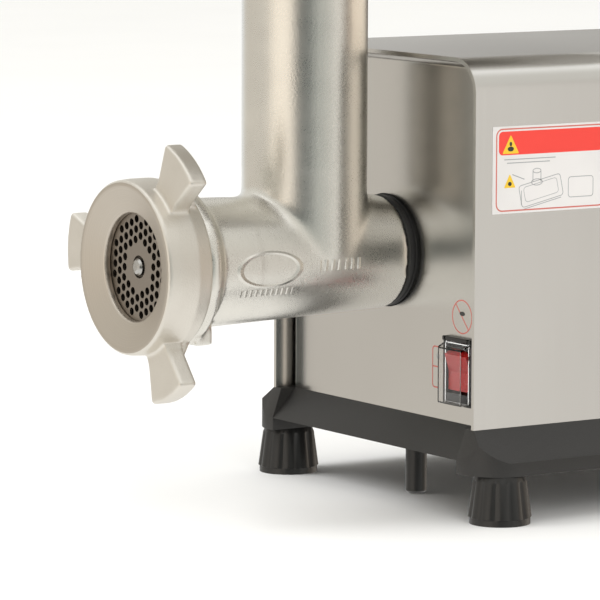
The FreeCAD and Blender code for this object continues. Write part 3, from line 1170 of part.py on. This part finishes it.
def cable_gland():
    """Threaded gland for the supply cable, with its nut inside the rear panel."""
    x, z = "0 - gland_offset", "gland_height"
    gland = new_body("cable_gland", x=x, y="rear_panel_face", z=z)

    def hexagon(sketch, flats):
        across = f"({flats} / 2)"
        turns = [math.radians(30 + 60 * number) for number in range(6)]
        corners = [(f"{across} * {math.cos(turn) * 2 / math.sqrt(3):.6f}",
                    f"{across} * {math.sin(turn) * 2 / math.sqrt(3):.6f}") for turn in turns]
        return outline(sketch, corners)

    revolve(gland, outline(new_sketch(gland, "YZ_Plane"), [
        ("0 - sheet - gland_nut - 3", "0"), ("0 - sheet - gland_nut - 3", "gland_thread"),
        ("gland_hex", "gland_thread"), ("gland_hex", "gland_dome_radius"),
        ("gland_hex + gland_dome - 4", "gland_dome_radius"), ("gland_hex + gland_dome", "gland_bore + 2"),
        ("gland_hex + gland_dome", "0")]))
    pad(gland, hexagon(new_sketch(gland, "XZ_Plane"), "gland_flats"), "gland_hex")
    pocket(gland, circle(new_sketch(gland, "XZ_Plane", "0 - 20"), "gland_bore"), "40")
    nut = new_body("gland_nut", x=x, y="rear_panel_face - sheet - gland_nut", z=z)
    pad(nut, hexagon(new_sketch(nut, "XZ_Plane"), "gland_flats"), "gland_nut")
    pocket(nut, circle(new_sketch(nut, "XZ_Plane", "0 - 1"), "gland_thread + 0.01"), "gland_nut + 2")


def base_screws():
    """Screws from below the base into the wrap's flanges."""
    screws = []
    for side in (-1, 1):
        for share in (0.3, 0.7):
            screws.append(screw(f"base_screw_{len(screws)}",
                                f"{side} * (casing_width / 2 - bottom_flange / 2 - 3)",
                                f"base_front + base_length * {share}", "base_ledge - 1", "z", "4", "2", "2",
                                "base_top + sheet + 1 - base_ledge"))
    group("base_screws", screws)


# --- The whole machine ---------------------------------------------------------------------------

head_casting()
plate_key()
hole_plate()
knife()
feed_screw()
screw_stud()
ring_nut()
head_rings()
feed_tray()
pusher()
base()
feet_and_stop()
casing_wrap()
panels()
side_label()
switch_bezel()
switch_rocker()
switch_cover()
hub_seal()
head_lock()
gearbox_cover()
gearbox_housing()
gearbox_bolts()
output_shaft()
gears_and_shafts()
bearings()
motor()
cooling_fan()
motor_cradle()
capacitor_and_terminals()
cable_gland()
base_screws()

document.recompute()
faults = [item.Label for item in document.Objects if "Invalid" in item.State or "Error" in item.State]
faults += [node.Label for node in nodes if node.Shape.isNull() or not node.Shape.isValid()]
if faults:
    raise RuntimeError("failed: " + ", ".join(faults))

os.makedirs("parts", exist_ok=True)
for node in nodes:
    node.Shape.exportStep(f"parts/{node.Label}.step")
print(f"{len(nodes)} nodes written")
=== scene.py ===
import math

import bpy
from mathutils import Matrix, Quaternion, Vector


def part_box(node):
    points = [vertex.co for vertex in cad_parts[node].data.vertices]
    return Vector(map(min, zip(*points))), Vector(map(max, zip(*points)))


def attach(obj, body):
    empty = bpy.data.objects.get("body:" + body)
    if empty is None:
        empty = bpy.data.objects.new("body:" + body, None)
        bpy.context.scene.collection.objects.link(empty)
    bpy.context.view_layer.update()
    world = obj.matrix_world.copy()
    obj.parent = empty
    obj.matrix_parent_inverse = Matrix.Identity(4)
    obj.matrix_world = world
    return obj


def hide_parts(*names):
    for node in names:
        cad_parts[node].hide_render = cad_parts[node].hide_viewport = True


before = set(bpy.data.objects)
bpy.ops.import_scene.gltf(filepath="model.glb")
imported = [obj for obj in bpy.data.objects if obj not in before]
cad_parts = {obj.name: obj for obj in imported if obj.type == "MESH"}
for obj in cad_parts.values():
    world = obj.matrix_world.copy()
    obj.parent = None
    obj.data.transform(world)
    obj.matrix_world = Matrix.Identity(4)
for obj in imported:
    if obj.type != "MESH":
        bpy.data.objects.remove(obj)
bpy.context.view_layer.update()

# --- Base ----------------------------------------------------------------------------------------
# The base is one dark ABS moulding with a fine etched grain. The whole machine stands in it, and
# screws hold the casing down to its four hollow corner blocks.


class Value:
    """A shader socket of one material. Arithmetic adds Math nodes, and node() adds any other kind."""

    def __init__(self, tree, socket=None):
        self.tree, self.socket = tree, socket

    def node(self, kind, settings=None, inputs=None, output=0):
        made = self.tree.nodes.new("ShaderNode" + kind)
        for key, value in (settings or {}).items():
            if key == "stops":
                for at, _ in value[1:-1]:
                    made.color_ramp.elements.new(at)
                for stop, (at, shade) in zip(made.color_ramp.elements, value):
                    stop.position, stop.color = at, (*shade, 1)
            else:
                setattr(made, key, value)
        for key, value in (inputs or {}).items():
            if isinstance(value, Value):
                self.tree.links.new(value.socket, made.inputs[key])
            else:
                made.inputs[key].default_value = value
        return Value(self.tree, made.outputs[output])

    def math(self, operation, *terms):
        return self.node("Math", {"operation": operation}, dict(enumerate(terms)))

    def __add__(self, other):
        return self.math("ADD", self, other)

    def __sub__(self, other):
        return self.math("SUBTRACT", self, other)

    def __rsub__(self, other):
        return self.math("SUBTRACT", other, self)

    def __mul__(self, other):
        return self.math("MULTIPLY", self, other)

    def __lt__(self, other):
        return self.math("LESS_THAN", self, other)

    def __gt__(self, other):
        return self.math("GREATER_THAN", self, other)

    __radd__, __rmul__ = __add__, __mul__

    def noise(self, scale, detail=2, stretch=(1, 1, 1)):
        """Noise over a place; stretch says how much finer it is along each axis."""
        place = self.node("Mapping", {}, {"Vector": self, "Scale": stretch})
        return self.node("TexNoise", {}, {"Vector": place, "Scale": scale, "Detail": detail})

    def blend(self, low, high):
        """Goes from one colour, or colour socket, to another as the value goes from 0 to 1."""
        shades = [shade if isinstance(shade, Value) else (*shade, 1) for shade in (low, high)]
        return self.node("Mix", {"data_type": "RGBA"}, {0: self, 6: shades[0], 7: shades[1]}, output=2)

    def relief(self, distance, strength=1):
        return self.node("Bump", {}, {"Height": self, "Distance": distance, "Strength": strength})

    def feed(self, socket):
        self.tree.links.new(self.socket, self.tree.nodes["Principled BSDF"].inputs[socket])


def new_finish(name, **constants):
    """A material whose constants sit on its shader's sockets, and the place on the piece to work from."""
    material = bpy.data.materials.new(name)
    material.use_nodes = True
    shader = material.node_tree.nodes["Principled BSDF"]
    for socket, value in constants.items():
        shader.inputs[socket.replace("_", " ")].default_value = value
    return material, Value(material.node_tree).node("TexCoord", output="Object")


def dress(material, *nodes):
    """Gives frame nodes a finish through their own material slots."""
    for node in nodes:
        for material_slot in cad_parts[node].material_slots:
            material_slot.material = material


def moulded(name, shade, roughness, grain, depth):
    """Moulded plastic or rubber: one colour that drifts a little, with a fine etched grain."""
    material, place = new_finish(name)
    drift = place.noise(14, 3)
    drift.blend([0.82 * part for part in shade], [1.15 * part for part in shade]).feed("Base Color")
    etched = place.noise(grain, 2)
    (roughness - 0.08 + 0.16 * etched).feed("Roughness")
    etched.relief(depth, 0.6).feed("Normal")
    return material


def only(piece):
    """Deselects everything, then takes one piece as the active one."""
    bpy.ops.object.select_all(action="DESELECT")
    piece.select_set(True)
    bpy.context.view_layer.objects.active = piece


def joined_copy(node, name):
    """A new piece that starts from a frame node's own mesh, its loose triangles joined into one skin."""
    piece = bpy.data.objects.new(name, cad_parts[node].data.copy())
    bpy.context.collection.objects.link(piece)
    only(piece)
    bpy.ops.object.mode_set(mode="EDIT")
    bpy.ops.mesh.select_all(action="SELECT")
    bpy.ops.mesh.remove_doubles(threshold=1e-6)
    bpy.ops.object.mode_set(mode="OBJECT")
    return piece


def finish_piece(piece, name, body, material, nodes=(), smooth=35):
    """Names a piece, bakes its place into its mesh, gives it its finish and lets it ride on a body."""
    if piece.mode != "OBJECT":
        bpy.ops.object.mode_set(mode="OBJECT")
    only(piece)
    bpy.ops.object.transform_apply(location=True, rotation=True, scale=True)
    bpy.ops.object.shade_smooth_by_angle(angle=math.radians(smooth))
    piece.name = piece.data.name = name
    piece.data.materials.clear()
    piece.data.materials.append(material)
    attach(piece, body)
    if nodes:
        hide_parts(*nodes)


base_plastic = moulded("etched_base_plastic", (0.021, 0.02, 0.019), 0.5, 1500, 0.0002)
moulding = joined_copy("base", "moulding")
bpy.ops.object.mode_set(mode="EDIT")
bpy.ops.mesh.select_all(action="SELECT")
bpy.ops.mesh.dissolve_limited(angle_limit=math.radians(1))
bpy.ops.object.mode_set(mode="OBJECT")
edge_round = moulding.modifiers.new("edge_round", "BEVEL")
edge_round.width, edge_round.segments, edge_round.angle_limit = 0.0014, 3, math.radians(25)
bpy.ops.object.modifier_apply(modifier="edge_round")
finish_piece(moulding, "base_moulding", "machine", base_plastic, ["base"], 40)

# --- Feet and centre stop ------------------------------------------------------------------------
# Four fluted rubber feet are screwed up into the corner blocks, and a plain rubber stop hangs under
# the middle of the front.
foot_rubber = moulded("foot_rubber", (0.013, 0.0125, 0.012), 0.36, 900, 0.00008)
dress(foot_rubber, "centre_stop")


def pick(piece, test):
    """Selects, in edit mode, the faces whose middle and normal pass the test."""
    bpy.ops.object.mode_set(mode="EDIT")
    bpy.ops.mesh.select_mode(type="FACE")
    bpy.ops.mesh.select_all(action="DESELECT")
    bpy.ops.object.mode_set(mode="OBJECT")
    for face in piece.data.polygons:
        face.select = test(face.center, face.normal)
    bpy.ops.object.mode_set(mode="EDIT")


# One foot is modelled round the origin: a cone with twelve broad flutes, a plain lip at the floor and
# a recess underneath for its screw. It is then copied to the four corners.
foot_low, foot_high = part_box("foot_front_right")
foot_radius, foot_height = (foot_high[0] - foot_low[0]) / 2, foot_high[2] - foot_low[2]
flutes, steps_per_flute = 12, 8
bpy.ops.object.select_all(action="DESELECT")
bpy.ops.mesh.primitive_cylinder_add(vertices=flutes * steps_per_flute, radius=foot_radius - 0.0005,
                                    depth=0.0035, end_fill_type="NGON", location=(0, 0, 0.00175))
foot = bpy.context.object
bpy.ops.object.transform_apply(location=True)
for rise, scale in ((0.0004, 1.045), (foot_height - 0.0075, 0.845), (0.0008, 0.97), (0.0028, 0.93)):
    pick(foot, lambda middle, normal: normal.z > 0.9)
    bpy.ops.mesh.extrude_region_move(TRANSFORM_OT_translate={"value": (0, 0, rise)})
    bpy.ops.transform.resize(value=(scale, scale, 1), center_override=(0, 0, 0))
pick(foot, lambda middle, normal: normal.z < -0.9)
bpy.ops.mesh.inset(thickness=0.0012, depth=-0.0007)
bpy.ops.mesh.inset(thickness=0.006)
bpy.ops.mesh.inset(thickness=0.0008, depth=-0.006)
bpy.ops.object.mode_set(mode="OBJECT")
for point in foot.data.vertices:
    if 0.0036 < point.co.z < foot_height - 0.003:
        turn = math.atan2(point.co.y, point.co.x) * flutes / (2 * math.pi)
        hollow = 0.0011 * (1 - abs(2 * (turn % 1) - 1)) ** 2
        point.co.x -= hollow * math.cos(math.atan2(point.co.y, point.co.x))
        point.co.y -= hollow * math.sin(math.atan2(point.co.y, point.co.x))
for corner in ("front_right", "rear_right", "front_left", "rear_left"):
    low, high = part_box(f"foot_{corner}")
    copy = bpy.data.objects.new("foot", foot.data.copy())
    bpy.context.collection.objects.link(copy)
    copy.location = ((low[0] + high[0]) / 2, (low[1] + high[1]) / 2, low[2])
    finish_piece(copy, f"fluted_foot_{corner}", "machine", foot_rubber, [f"foot_{corner}"])
bpy.data.objects.remove(foot)

# --- Screws --------------------------------------------------------------------------------------
# Zinc plated steel screws hold the feet, the base, the rear panel and the gearbox. The capacitor's
# clamp and the motor's cradle are pressed from sheet with the same plating.


def plain_metal(name, shade, roughness, grain=700, metallic=1):
    """Metal or paint with a faint cloudiness in its gloss."""
    material, place = new_finish(name, Metallic=metallic)
    cloud = place.noise(grain, 3)
    cloud.blend([0.85 * part for part in shade], shade).feed("Base Color")
    (roughness - 0.06 + 0.12 * cloud).feed("Roughness")
    cloud.relief(0.00005, 0.5).feed("Normal")
    return material


zinc_steel = plain_metal("zinc_plate", (0.62, 0.62, 0.6), 0.34)
dress(zinc_steel, "foot_screws", "base_screws", "rear_panel_screws", "gearbox_bolts", "capacitor_clamp",
      "motor_cradle")

# --- Gearbox and motor ---------------------------------------------------------------------------
# The gearbox is two aluminium castings, and the motor is flanged to its back. They stay inside the
# casing, so only the bore of the hub shows once the head is drawn out.
dress(plain_metal("cast_aluminium", (0.6, 0.6, 0.59), 0.5, 1200), "gearbox_cover", "gearbox_housing",
      "motor_end_shield")
dress(plain_metal("motor_paint", (0.05, 0.055, 0.06), 0.45, 500, 0), "motor_shell")
dress(plain_metal("stacked_laminations", (0.3, 0.3, 0.31), 0.4, 2500), "stator_core", "rotor_core")
dress(plain_metal("varnished_copper", (0.55, 0.2, 0.08), 0.35, 1500), "stator_windings")
dress(plain_metal("bearing_steel", (0.62, 0.62, 0.63), 0.18), "output_bearings", "layshaft_bearings",
      "rotor_bearings")
machined_steel = plain_metal("turned_steel", (0.55, 0.54, 0.52), 0.28, 1600)
dress(machined_steel, "output_shaft", "output_gear", "output_circlip", "layshaft", "layshaft_gear",
      "rotor_shaft")
black_plastic = moulded("black_plastic", (0.012, 0.012, 0.012), 0.32, 1800, 0.00005)
dress(black_plastic, "cooling_fan", "run_capacitor", "cable_gland", "gland_nut")
dress(moulded("natural_nylon", (0.62, 0.6, 0.53), 0.4, 900, 0.00005), "terminal_block", "thrust_washer")
seal_rubber = moulded("seal_rubber", (0.016, 0.016, 0.016), 0.5, 1200, 0.0001)
dress(seal_rubber, "shaft_seal")

# --- Casing --------------------------------------------------------------------------------------
# A wrap of 1.2 mm satin stainless sheet goes up one side, over and down the other. The front and
# rear panels are dished plates of the same sheet set into it.
satin_stainless, place = new_finish("satin_stainless", Metallic=1)
brushing = place.noise(900, 2, (1, 1, 0.01))
clouds = place.noise(9, 2)
clouds.blend((0.62, 0.605, 0.585), (0.7, 0.69, 0.67)).feed("Base Color")
(0.17 + 0.06 * brushing + 0.05 * clouds).feed("Roughness")
brushing.relief(0.00002, 0.2).feed("Normal")
dress(satin_stainless, "casing_wrap", "front_panel", "rear_panel")

# --- Side label ----------------------------------------------------------------------------------
# A white film label is stuck on the right hand side of the casing. Its print is a border, a band, two
# triangles and some line work, with no lettering.
label_film = moulded("label_film", (0.72, 0.7, 0.69), 0.35, 300, 0.00001)
dress(label_film, "side_label")


def ink(name, shade):
    """Screen printing ink: flat colour that covers a little unevenly."""
    material, place = new_finish(name)
    cover = place.noise(2500, 2)
    cover.blend([0.9 * part for part in shade], shade).feed("Base Color")
    (0.38 + 0.1 * cover).feed("Roughness")
    return material


mm = 0.001
ink_thickness = 0.04 * mm


def shape(sides, width, height, across, up, corner=0.0, line=0.0, turn=0.0):
    """A flat shape in the XY plane, filled or drawn as a line, its corners rounded. Sizes in millimetres."""
    bpy.ops.object.select_all(action="DESELECT")
    spin = math.pi / 4 if sides == 4 else 0
    radius = 0.5 / math.cos(spin)
    bpy.ops.mesh.primitive_circle_add(vertices=sides, radius=radius, fill_type="NGON", rotation=(0, 0, spin))
    drawn = bpy.context.object
    bpy.ops.object.transform_apply(rotation=True)
    drawn.scale = (width * mm, height * mm, 1)
    bpy.ops.object.transform_apply(scale=True)
    bpy.ops.object.mode_set(mode="EDIT")
    bpy.ops.mesh.select_all(action="SELECT")
    if corner:
        bpy.ops.mesh.bevel(offset=corner * mm, segments=5, affect="VERTICES")
        bpy.ops.mesh.select_all(action="SELECT")
    if line:
        bpy.ops.mesh.inset(thickness=line * mm)
        bpy.ops.mesh.delete(type="FACE")
        bpy.ops.mesh.select_all(action="SELECT")
    bpy.ops.mesh.extrude_region_move(TRANSFORM_OT_translate={"value": (0, 0, ink_thickness)})
    bpy.ops.mesh.select_all(action="SELECT")
    bpy.ops.mesh.normals_make_consistent(inside=False)
    bpy.ops.object.mode_set(mode="OBJECT")
    drawn.rotation_euler = (0, 0, math.radians(turn))
    drawn.location = (across * mm, up * mm, 0)
    bpy.ops.object.transform_apply(location=True, rotation=True)
    return drawn


def printed(name, material, origin, facing, shapes, cut=None):
    """Joins flat shapes and lays them on a face of the casing: front looks along -Y, right along +X.
    The first shape ends at the cut, where one is given."""
    drawn = [shape(*numbers) for numbers in shapes]
    if cut:
        only(drawn[0])
        bpy.ops.object.mode_set(mode="EDIT")
        bpy.ops.mesh.select_all(action="SELECT")
        bpy.ops.mesh.bisect(plane_co=(cut * mm, 0, 0), plane_no=(1, 0, 0), clear_outer=True, use_fill=True)
        bpy.ops.object.mode_set(mode="OBJECT")
    bpy.ops.object.select_all(action="DESELECT")
    for part in drawn:
        part.select_set(True)
    bpy.context.view_layer.objects.active = drawn[0]
    bpy.ops.object.join()
    drawn[0].rotation_euler = (math.pi / 2, 0, math.pi / 2 if facing == "right" else 0)
    drawn[0].location = origin
    finish_piece(drawn[0], name, "machine", material, smooth=20)


red_ink = ink("red_ink", (0.85, 0.055, 0.04))
faded_red_ink = ink("faded_red_ink", (0.6, 0.16, 0.13))
dark_ink = ink("dark_ink", (0.03, 0.03, 0.03))
grey_ink = ink("grey_ink", (0.33, 0.34, 0.35))
yellow_ink = ink("yellow_ink", (0.85, 0.55, 0.03))
label_low, label_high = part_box("side_label")
on_film, on_banner, on_triangles = [
    (label_high[0] + layer * ink_thickness, label_low[1], label_low[2]) for layer in range(3)]
printed("label_border", faded_red_ink, on_film, "right", [(4, 77, 47.2, 40.8, 24.75, 4.4, 0.8)])
printed("label_banner", red_ink, on_film, "right", [(4, 73, 13.4, 40.8, 39.9, 2.6)])
printed("label_triangles", yellow_ink, on_banner, "right", [
    (3, 13.4, 14.2, 12.5, 37.5, 0.8), (3, 9.3, 10.4, 12, 17.2, 0.6)])
printed("label_signs", dark_ink, on_triangles, "right", [
    (12, 4.4, 2.8, 12.5, 36.6), (12, 1.8, 2.6, 12.5, 39.4), (12, 2.6, 2.4, 12, 16.8)])
printed("label_drawing", grey_ink, on_film, "right", [
    (4, 36, 0.5, 26, 30.6), (4, 30, 0.5, 25, 28.6), (4, 30, 13, 34, 12, 2, 0.4, 12),
    (4, 24, 9, 34, 12.4, 2, 0.3, 12), (24, 8, 4, 31, 17, 0, 0.4), (24, 6, 3, 31, 23.5, 0, 0.4),
    (4, 0.4, 6, 28.2, 20.2), (4, 0.4, 6, 33.8, 20.2),
    (4, 0.4, 8, 20.2, 8.6), (4, 28, 0.4, 34.4, 4.6, 0, 0, 12), (4, 9, 0.5, 18, 20.5, 0, 0, -20),
    (4, 18, 12, 62, 13, 2, 0.4)])

# --- Front panel print ---------------------------------------------------------------------------
# A round sign, and a bracket with two marks beside the switch, are screen printed on the front panel.
# They have no lettering.
panel_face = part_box("front_panel")[0][1]
on_panel, on_sign = (0, panel_face, 0), (0, panel_face - ink_thickness, 0)
printed("round_sign", faded_red_ink, on_panel, "front", [
    (64, 19.8, 19.8, 77.4, 114.4, 0, 0.75), (4, 18.6, 0.75, 77.4, 114.4, 0, 0, -48)])
printed("round_sign_blot", dark_ink, on_sign, "front", [(12, 5.2, 2.6, 77.6, 116.2)])
printed("switch_bracket", faded_red_ink, on_panel, "front", [
    (4, 14, 24.4, 55, 82.8, 2.4, 0.8), (4, 5.4, 0.8, 51.2, 83)], cut=54.6)
printed("switch_marks", grey_ink, on_panel, "front", [
    (24, 3.4, 3.4, 54, 89.2, 0, 0.6), (4, 0.7, 3.4, 54, 77.4)])

# --- Switch --------------------------------------------------------------------------------------
# A red rocker tips in a black moulded frame that snaps into the front panel. A clear splash cover
# hangs on a bar at the frame's top.
dress(black_plastic, "switch_bezel")
red_plastic = moulded("red_plastic", (0.55, 0.012, 0.01), 0.25, 700, 0.00002)
dress(red_plastic, "switch_rocker")
clear_plastic, place = new_finish(
    "clear_plastic", Base_Color=(0.95, 0.95, 0.95, 1), Transmission_Weight=1, IOR=1.3)
(0.03 + 0.05 * place.noise(60, 2)).feed("Roughness")
dress(clear_plastic, "switch_cover")

# --- Hub seal and head lock ----------------------------------------------------------------------
# A moulded rubber ring closes the gap round the hub where it comes through the front panel. On the
# left a steel screw with a black moulded knob clamps the head's neck in the hub.
dress(seal_rubber, "hub_seal")
dress(machined_steel, "head_lock_screw")
dress(black_plastic, "head_lock_knob")

# --- Head ----------------------------------------------------------------------------------------
# The head is a tinned iron sand casting: a barrel with a throat on top that takes the tray. Its neck
# goes into the hub of the gearbox, where a screw clamps it.


def cast_metal(name, low, high, roughness):
    """Tinned sand casting: the sand's grain under a thin bright coat. Gives its heights in millimetres."""
    material, place = new_finish(name, Metallic=1)
    pooled = place.noise(42, 3)
    grain = place.noise(1700, 2)
    pitted = place.noise(800, 2)
    pooled.blend(low, high).feed("Base Color")
    (roughness + 0.12 * pooled + 0.14 * grain).feed("Roughness")
    return material, place, 0.06 * grain + 0.07 * pitted + 0.16 * pooled


def as_cast(node, name, grain, rounds, turned_face=None):
    """A cast piece: the node's mesh skinned over in small faces and rubbed soft, except its turned face."""
    piece = joined_copy(node, name)
    skin = piece.modifiers.new("skin", "REMESH")
    skin.mode, skin.voxel_size = "VOXEL", grain
    bpy.ops.object.modifier_apply(modifier="skin")
    soft = piece.vertex_groups.new(name="soft")
    soft.add([point.index for point in piece.data.vertices
              if turned_face is None or point.co.y > turned_face], 1, "REPLACE")
    rub = piece.modifiers.new("rub", "SMOOTH")
    rub.factor, rub.iterations, rub.vertex_group = 0.5, rounds, "soft"
    bpy.ops.object.modifier_apply(modifier="rub")
    piece.vertex_groups.clear()
    return piece


# Raised on the right hand side of the barrel are a plain oval ring and three rows of short bars.
head_tin, place, skin_height = cast_metal("tinned_casting", (0.68, 0.66, 0.62), (0.86, 0.84, 0.78), 0.16)
side = place.node("SeparateXYZ", {}, {0: place}, "X") > 0
along = place.node("SeparateXYZ", {}, {0: place}, "Y")
rise = place.node("SeparateXYZ", {}, {0: place}, "Z")
oval_middle, oval_height, oval_half_length, oval_half_height = -0.157, 0.1437, 0.0205, 0.0096
oval_along = (along - oval_middle) * (1 / oval_half_length)
oval_rise = (rise - oval_height) * (1 / oval_half_height)
oval = oval_along * oval_along + oval_rise * oval_rise
oval = oval.math("SQRT", oval) - 1
oval_ring = oval.math("MAXIMUM", 1 - oval.math("ABSOLUTE", oval) * 9, 0)


def bars(start, end, low, high, pitch):
    """A row of short upright bars between two stations on the barrel."""
    within = (along > start) * (along < end) * (rise > low) * (rise < high)
    wave = along.math("SINE", along * (2 * math.pi / pitch))
    return within * wave.math("MAXIMUM", wave * 1.6 + 0.3, 0)


marks = 0.6 * oval_ring + 0.2 * bars(-0.1225, -0.1085, 0.1405, 0.147, 0.0046)
marks = marks + 0.2 * bars(-0.1055, -0.092, 0.1405, 0.147, 0.0046)
marks = marks + 0.16 * bars(-0.176, -0.14, 0.1285, 0.1325, 0.0036)
(skin_height + side * marks).relief(mm).feed("Normal")
head = as_cast("head_casting", "head", 1.4 * mm, 3)
saddle = head.vertex_groups.new(name="saddle")
throat_axis, axis_height, saddle_reach = -0.1108, 0.1457, 0.052
saddle.add([point.index for point in head.data.vertices
            if abs(point.co.y - throat_axis) < saddle_reach
            and axis_height - 0.012 < point.co.z < axis_height + saddle_reach
            and math.hypot(point.co.x, point.co.z - axis_height) > 0.032
            and math.hypot(point.co.x, point.co.y - throat_axis) > 0.0335], 1, "REPLACE")
blend = head.modifiers.new("blend", "SMOOTH")
blend.factor, blend.iterations, blend.vertex_group = 0.5, 45, "saddle"
only(head)
bpy.ops.object.modifier_apply(modifier="blend")
finish_piece(head, "head", "head", head_tin, ["head_casting"], 180)

# --- Screw, knife and hole plate -----------------------------------------------------------------
# The steel feed screw pushes the meat past a four armed knife that turns against a ground steel plate.
# The plate is keyed to the head by a pin, and the screw's tail runs in a bronze bushing.
dress(machined_steel, "plate_key", "feed_screw", "screw_stud")
dress(plain_metal("bronze", (0.5, 0.3, 0.12), 0.35), "rear_bushing")
plate_steel = plain_metal("ground_plate_steel", (0.36, 0.32, 0.28), 0.36, 500)
dress(plate_steel, "hole_plate", "knife")

# --- Ring nut ------------------------------------------------------------------------------------
# The ring nut is cast and tinned like the head, with three lugs to turn it by. Its dished front is
# turned on a lathe, and it holds the plate against the head.
thin_tin, thick_tin = (0.72, 0.68, 0.62), (0.86, 0.83, 0.77)
nut_tin, place, skin_height = cast_metal("tinned_nut", thin_tin, thick_tin, 0.32)
across = place.node("SeparateXYZ", {}, {0: place}, "X")
rise = place.node("SeparateXYZ", {}, {0: place}, "Z") - axis_height
radius = across * across + rise * rise
radius = radius.math("SQRT", radius)
dish_radius, dish_depth, rim_front = 0.0481, -0.2212, -0.2308
turned_front = (radius < dish_radius) * (place.node("SeparateXYZ", {}, {0: place}, "Y") < dish_depth)
rings = radius.node("TexNoise", {"noise_dimensions": "1D"}, {"W": radius, "Scale": 2200, "Detail": 1})
(1.5 * skin_height * (1 - turned_front) + 0.012 * rings * turned_front).relief(mm).feed("Normal")
pooled = place.noise(42, 3)
turned_front.blend(pooled.blend(thin_tin, thick_tin),
                   rings.blend((0.55, 0.5, 0.44), (0.65, 0.6, 0.53))).feed("Base Color")
nut = as_cast("ring_nut", "nut", 0.8 * mm, 4, rim_front)
finish_piece(nut, "lugged_ring_nut", "ring_nut", nut_tin, ["ring_nut"], 60)

# --- Feed tray and pusher ------------------------------------------------------------------------
# A pressed stainless tray drops into the top of the throat. A white polyethylene pusher, turned from
# bar, stands in the tray's hole.
dress(satin_stainless, "feed_tray")
dress(moulded("white_polyethylene", (0.8, 0.79, 0.75), 0.42, 500, 0.0001), "pusher")

# --- Floor, light and camera ---------------------------------------------------------------------
# A pale floor under large soft lamps, seen through a long lens from the right and a little above. The
# sky is a ring of light and dark walls under a pale ceiling, for the metal to reflect.
bpy.ops.object.select_all(action="DESELECT")
bpy.ops.mesh.primitive_plane_add(size=12, location=(0, 0, 0))
floor = bpy.context.object
floor.name = "floor"
floor_paint, place = new_finish("floor_paint", Roughness=0.9)
place.noise(3, 2).blend((0.9, 0.9, 0.9), (0.94, 0.94, 0.94)).feed("Base Color")
floor.data.materials.append(floor_paint)
floor.visible_glossy = False


def lamp(name, place, target, size, power):
    """A soft square lamp at a place, turned to a target."""
    data = bpy.data.lights.new(name, "AREA")
    data.shape, data.size, data.energy = "SQUARE", size, power
    made = bpy.data.objects.new(name, data)
    bpy.context.collection.objects.link(made)
    made.location = place
    made.rotation_mode = "QUATERNION"
    made.rotation_quaternion = (Vector(target) - Vector(place)).to_track_quat("-Z", "Y")
    made.visible_glossy = False


lamp("key", (-1.2, -2.6, 2.6), (0, 0, 0.15), 1.6, 60)
lamp("side", (3.2, -1.2, 1.6), (0, 0, 0.15), 1.8, 40)
world = bpy.data.worlds.new("studio")
world.use_nodes = True
bpy.context.scene.world = world
sky = Value(world.node_tree).node("TexCoord", output="Generated")
east = sky.node("SeparateXYZ", {}, {0: sky}, "X")
north = sky.node("SeparateXYZ", {}, {0: sky}, "Y")
up = sky.node("SeparateXYZ", {}, {0: sky}, "Z")
room_turn = 0.594
turn = north.math("ARCTAN2", north, east) * (0.5 / math.pi) + room_turn
turn = turn.math("FRACT", turn)
walls = turn.node("ValToRGB", {"stops": [
    (0, (0.45, 0.44, 0.42)), (0.03, (0.74, 0.77, 0.79)), (0.085, (0.74, 0.76, 0.77)),
    (0.115, (0.53, 0.5, 0.45)), (0.3, (0.57, 0.54, 0.49)), (0.345, (0.96, 0.88, 0.77)),
    (0.43, (1, 0.91, 0.8)), (0.465, (0.04, 0.05, 0.05)), (0.525, (0.05, 0.065, 0.065)),
    (0.56, (0.36, 0.38, 0.36)), (0.64, (0.48, 0.48, 0.45)), (0.665, (0.76, 0.74, 0.7)),
    (0.7, (0.76, 0.74, 0.7)), (0.715, (0.24, 0.2, 0.17)), (0.75, (0.2, 0.16, 0.13)),
    (0.77, (0.9, 0.78, 0.65)), (0.88, (0.9, 0.8, 0.68)), (0.92, (0.12, 0.11, 0.1)),
    (0.97, (0.14, 0.13, 0.12)), (1, (0.45, 0.44, 0.42))]}, {"Fac": turn})


def rising(start, end):
    """How far the sky's height has gone from one level to another, eased."""
    return up.node("MapRange", {"interpolation_type": "SMOOTHSTEP"},
                   {"Value": up, "From Min": start, "From Max": end})


cornice, ceiling, ground = rising(0.22, 0.42), rising(0.66, 0.8), rising(-0.15, -0.45)
upper = ceiling.blend(cornice.blend(walls, (0.62, 0.61, 0.57)), (0.98, 0.98, 0.96))
room = ground.blend(upper, (0.8, 0.79, 0.76))
seen = room.node("LightPath", {}, {}, "Is Camera Ray").blend(room, (0.76, 0.76, 0.76))
backdrop = world.node_tree.nodes["Background"]
world.node_tree.links.new(seen.socket, backdrop.inputs["Color"])
backdrop.inputs["Strength"].default_value = 1.3
bpy.context.scene.view_settings.view_transform = "Standard"

azimuth, elevation = math.radians(56.22), math.radians(6.29)
back = Vector((math.sin(azimuth) * math.cos(elevation), -math.cos(azimuth) * math.cos(elevation),
               math.sin(elevation)))
lens = bpy.data.cameras.new("camera")
lens.sensor_width, lens.lens, lens.shift_x, lens.shift_y = 36, 268.76, -0.076, -0.0915
lens.clip_start, lens.clip_end = 0.1, 50
camera = bpy.data.objects.new("camera", lens)
bpy.context.collection.objects.link(camera)
aim, distance, roll = Vector((0, -0.082, 0.15)), 2.5998, math.radians(0.25)
camera.location = aim + back * distance
camera.rotation_mode = "QUATERNION"
camera.rotation_quaternion = (-back).to_track_quat("-Z", "Y") @ Quaternion((0, 0, 1), roll)
bpy.context.scene.camera = camera
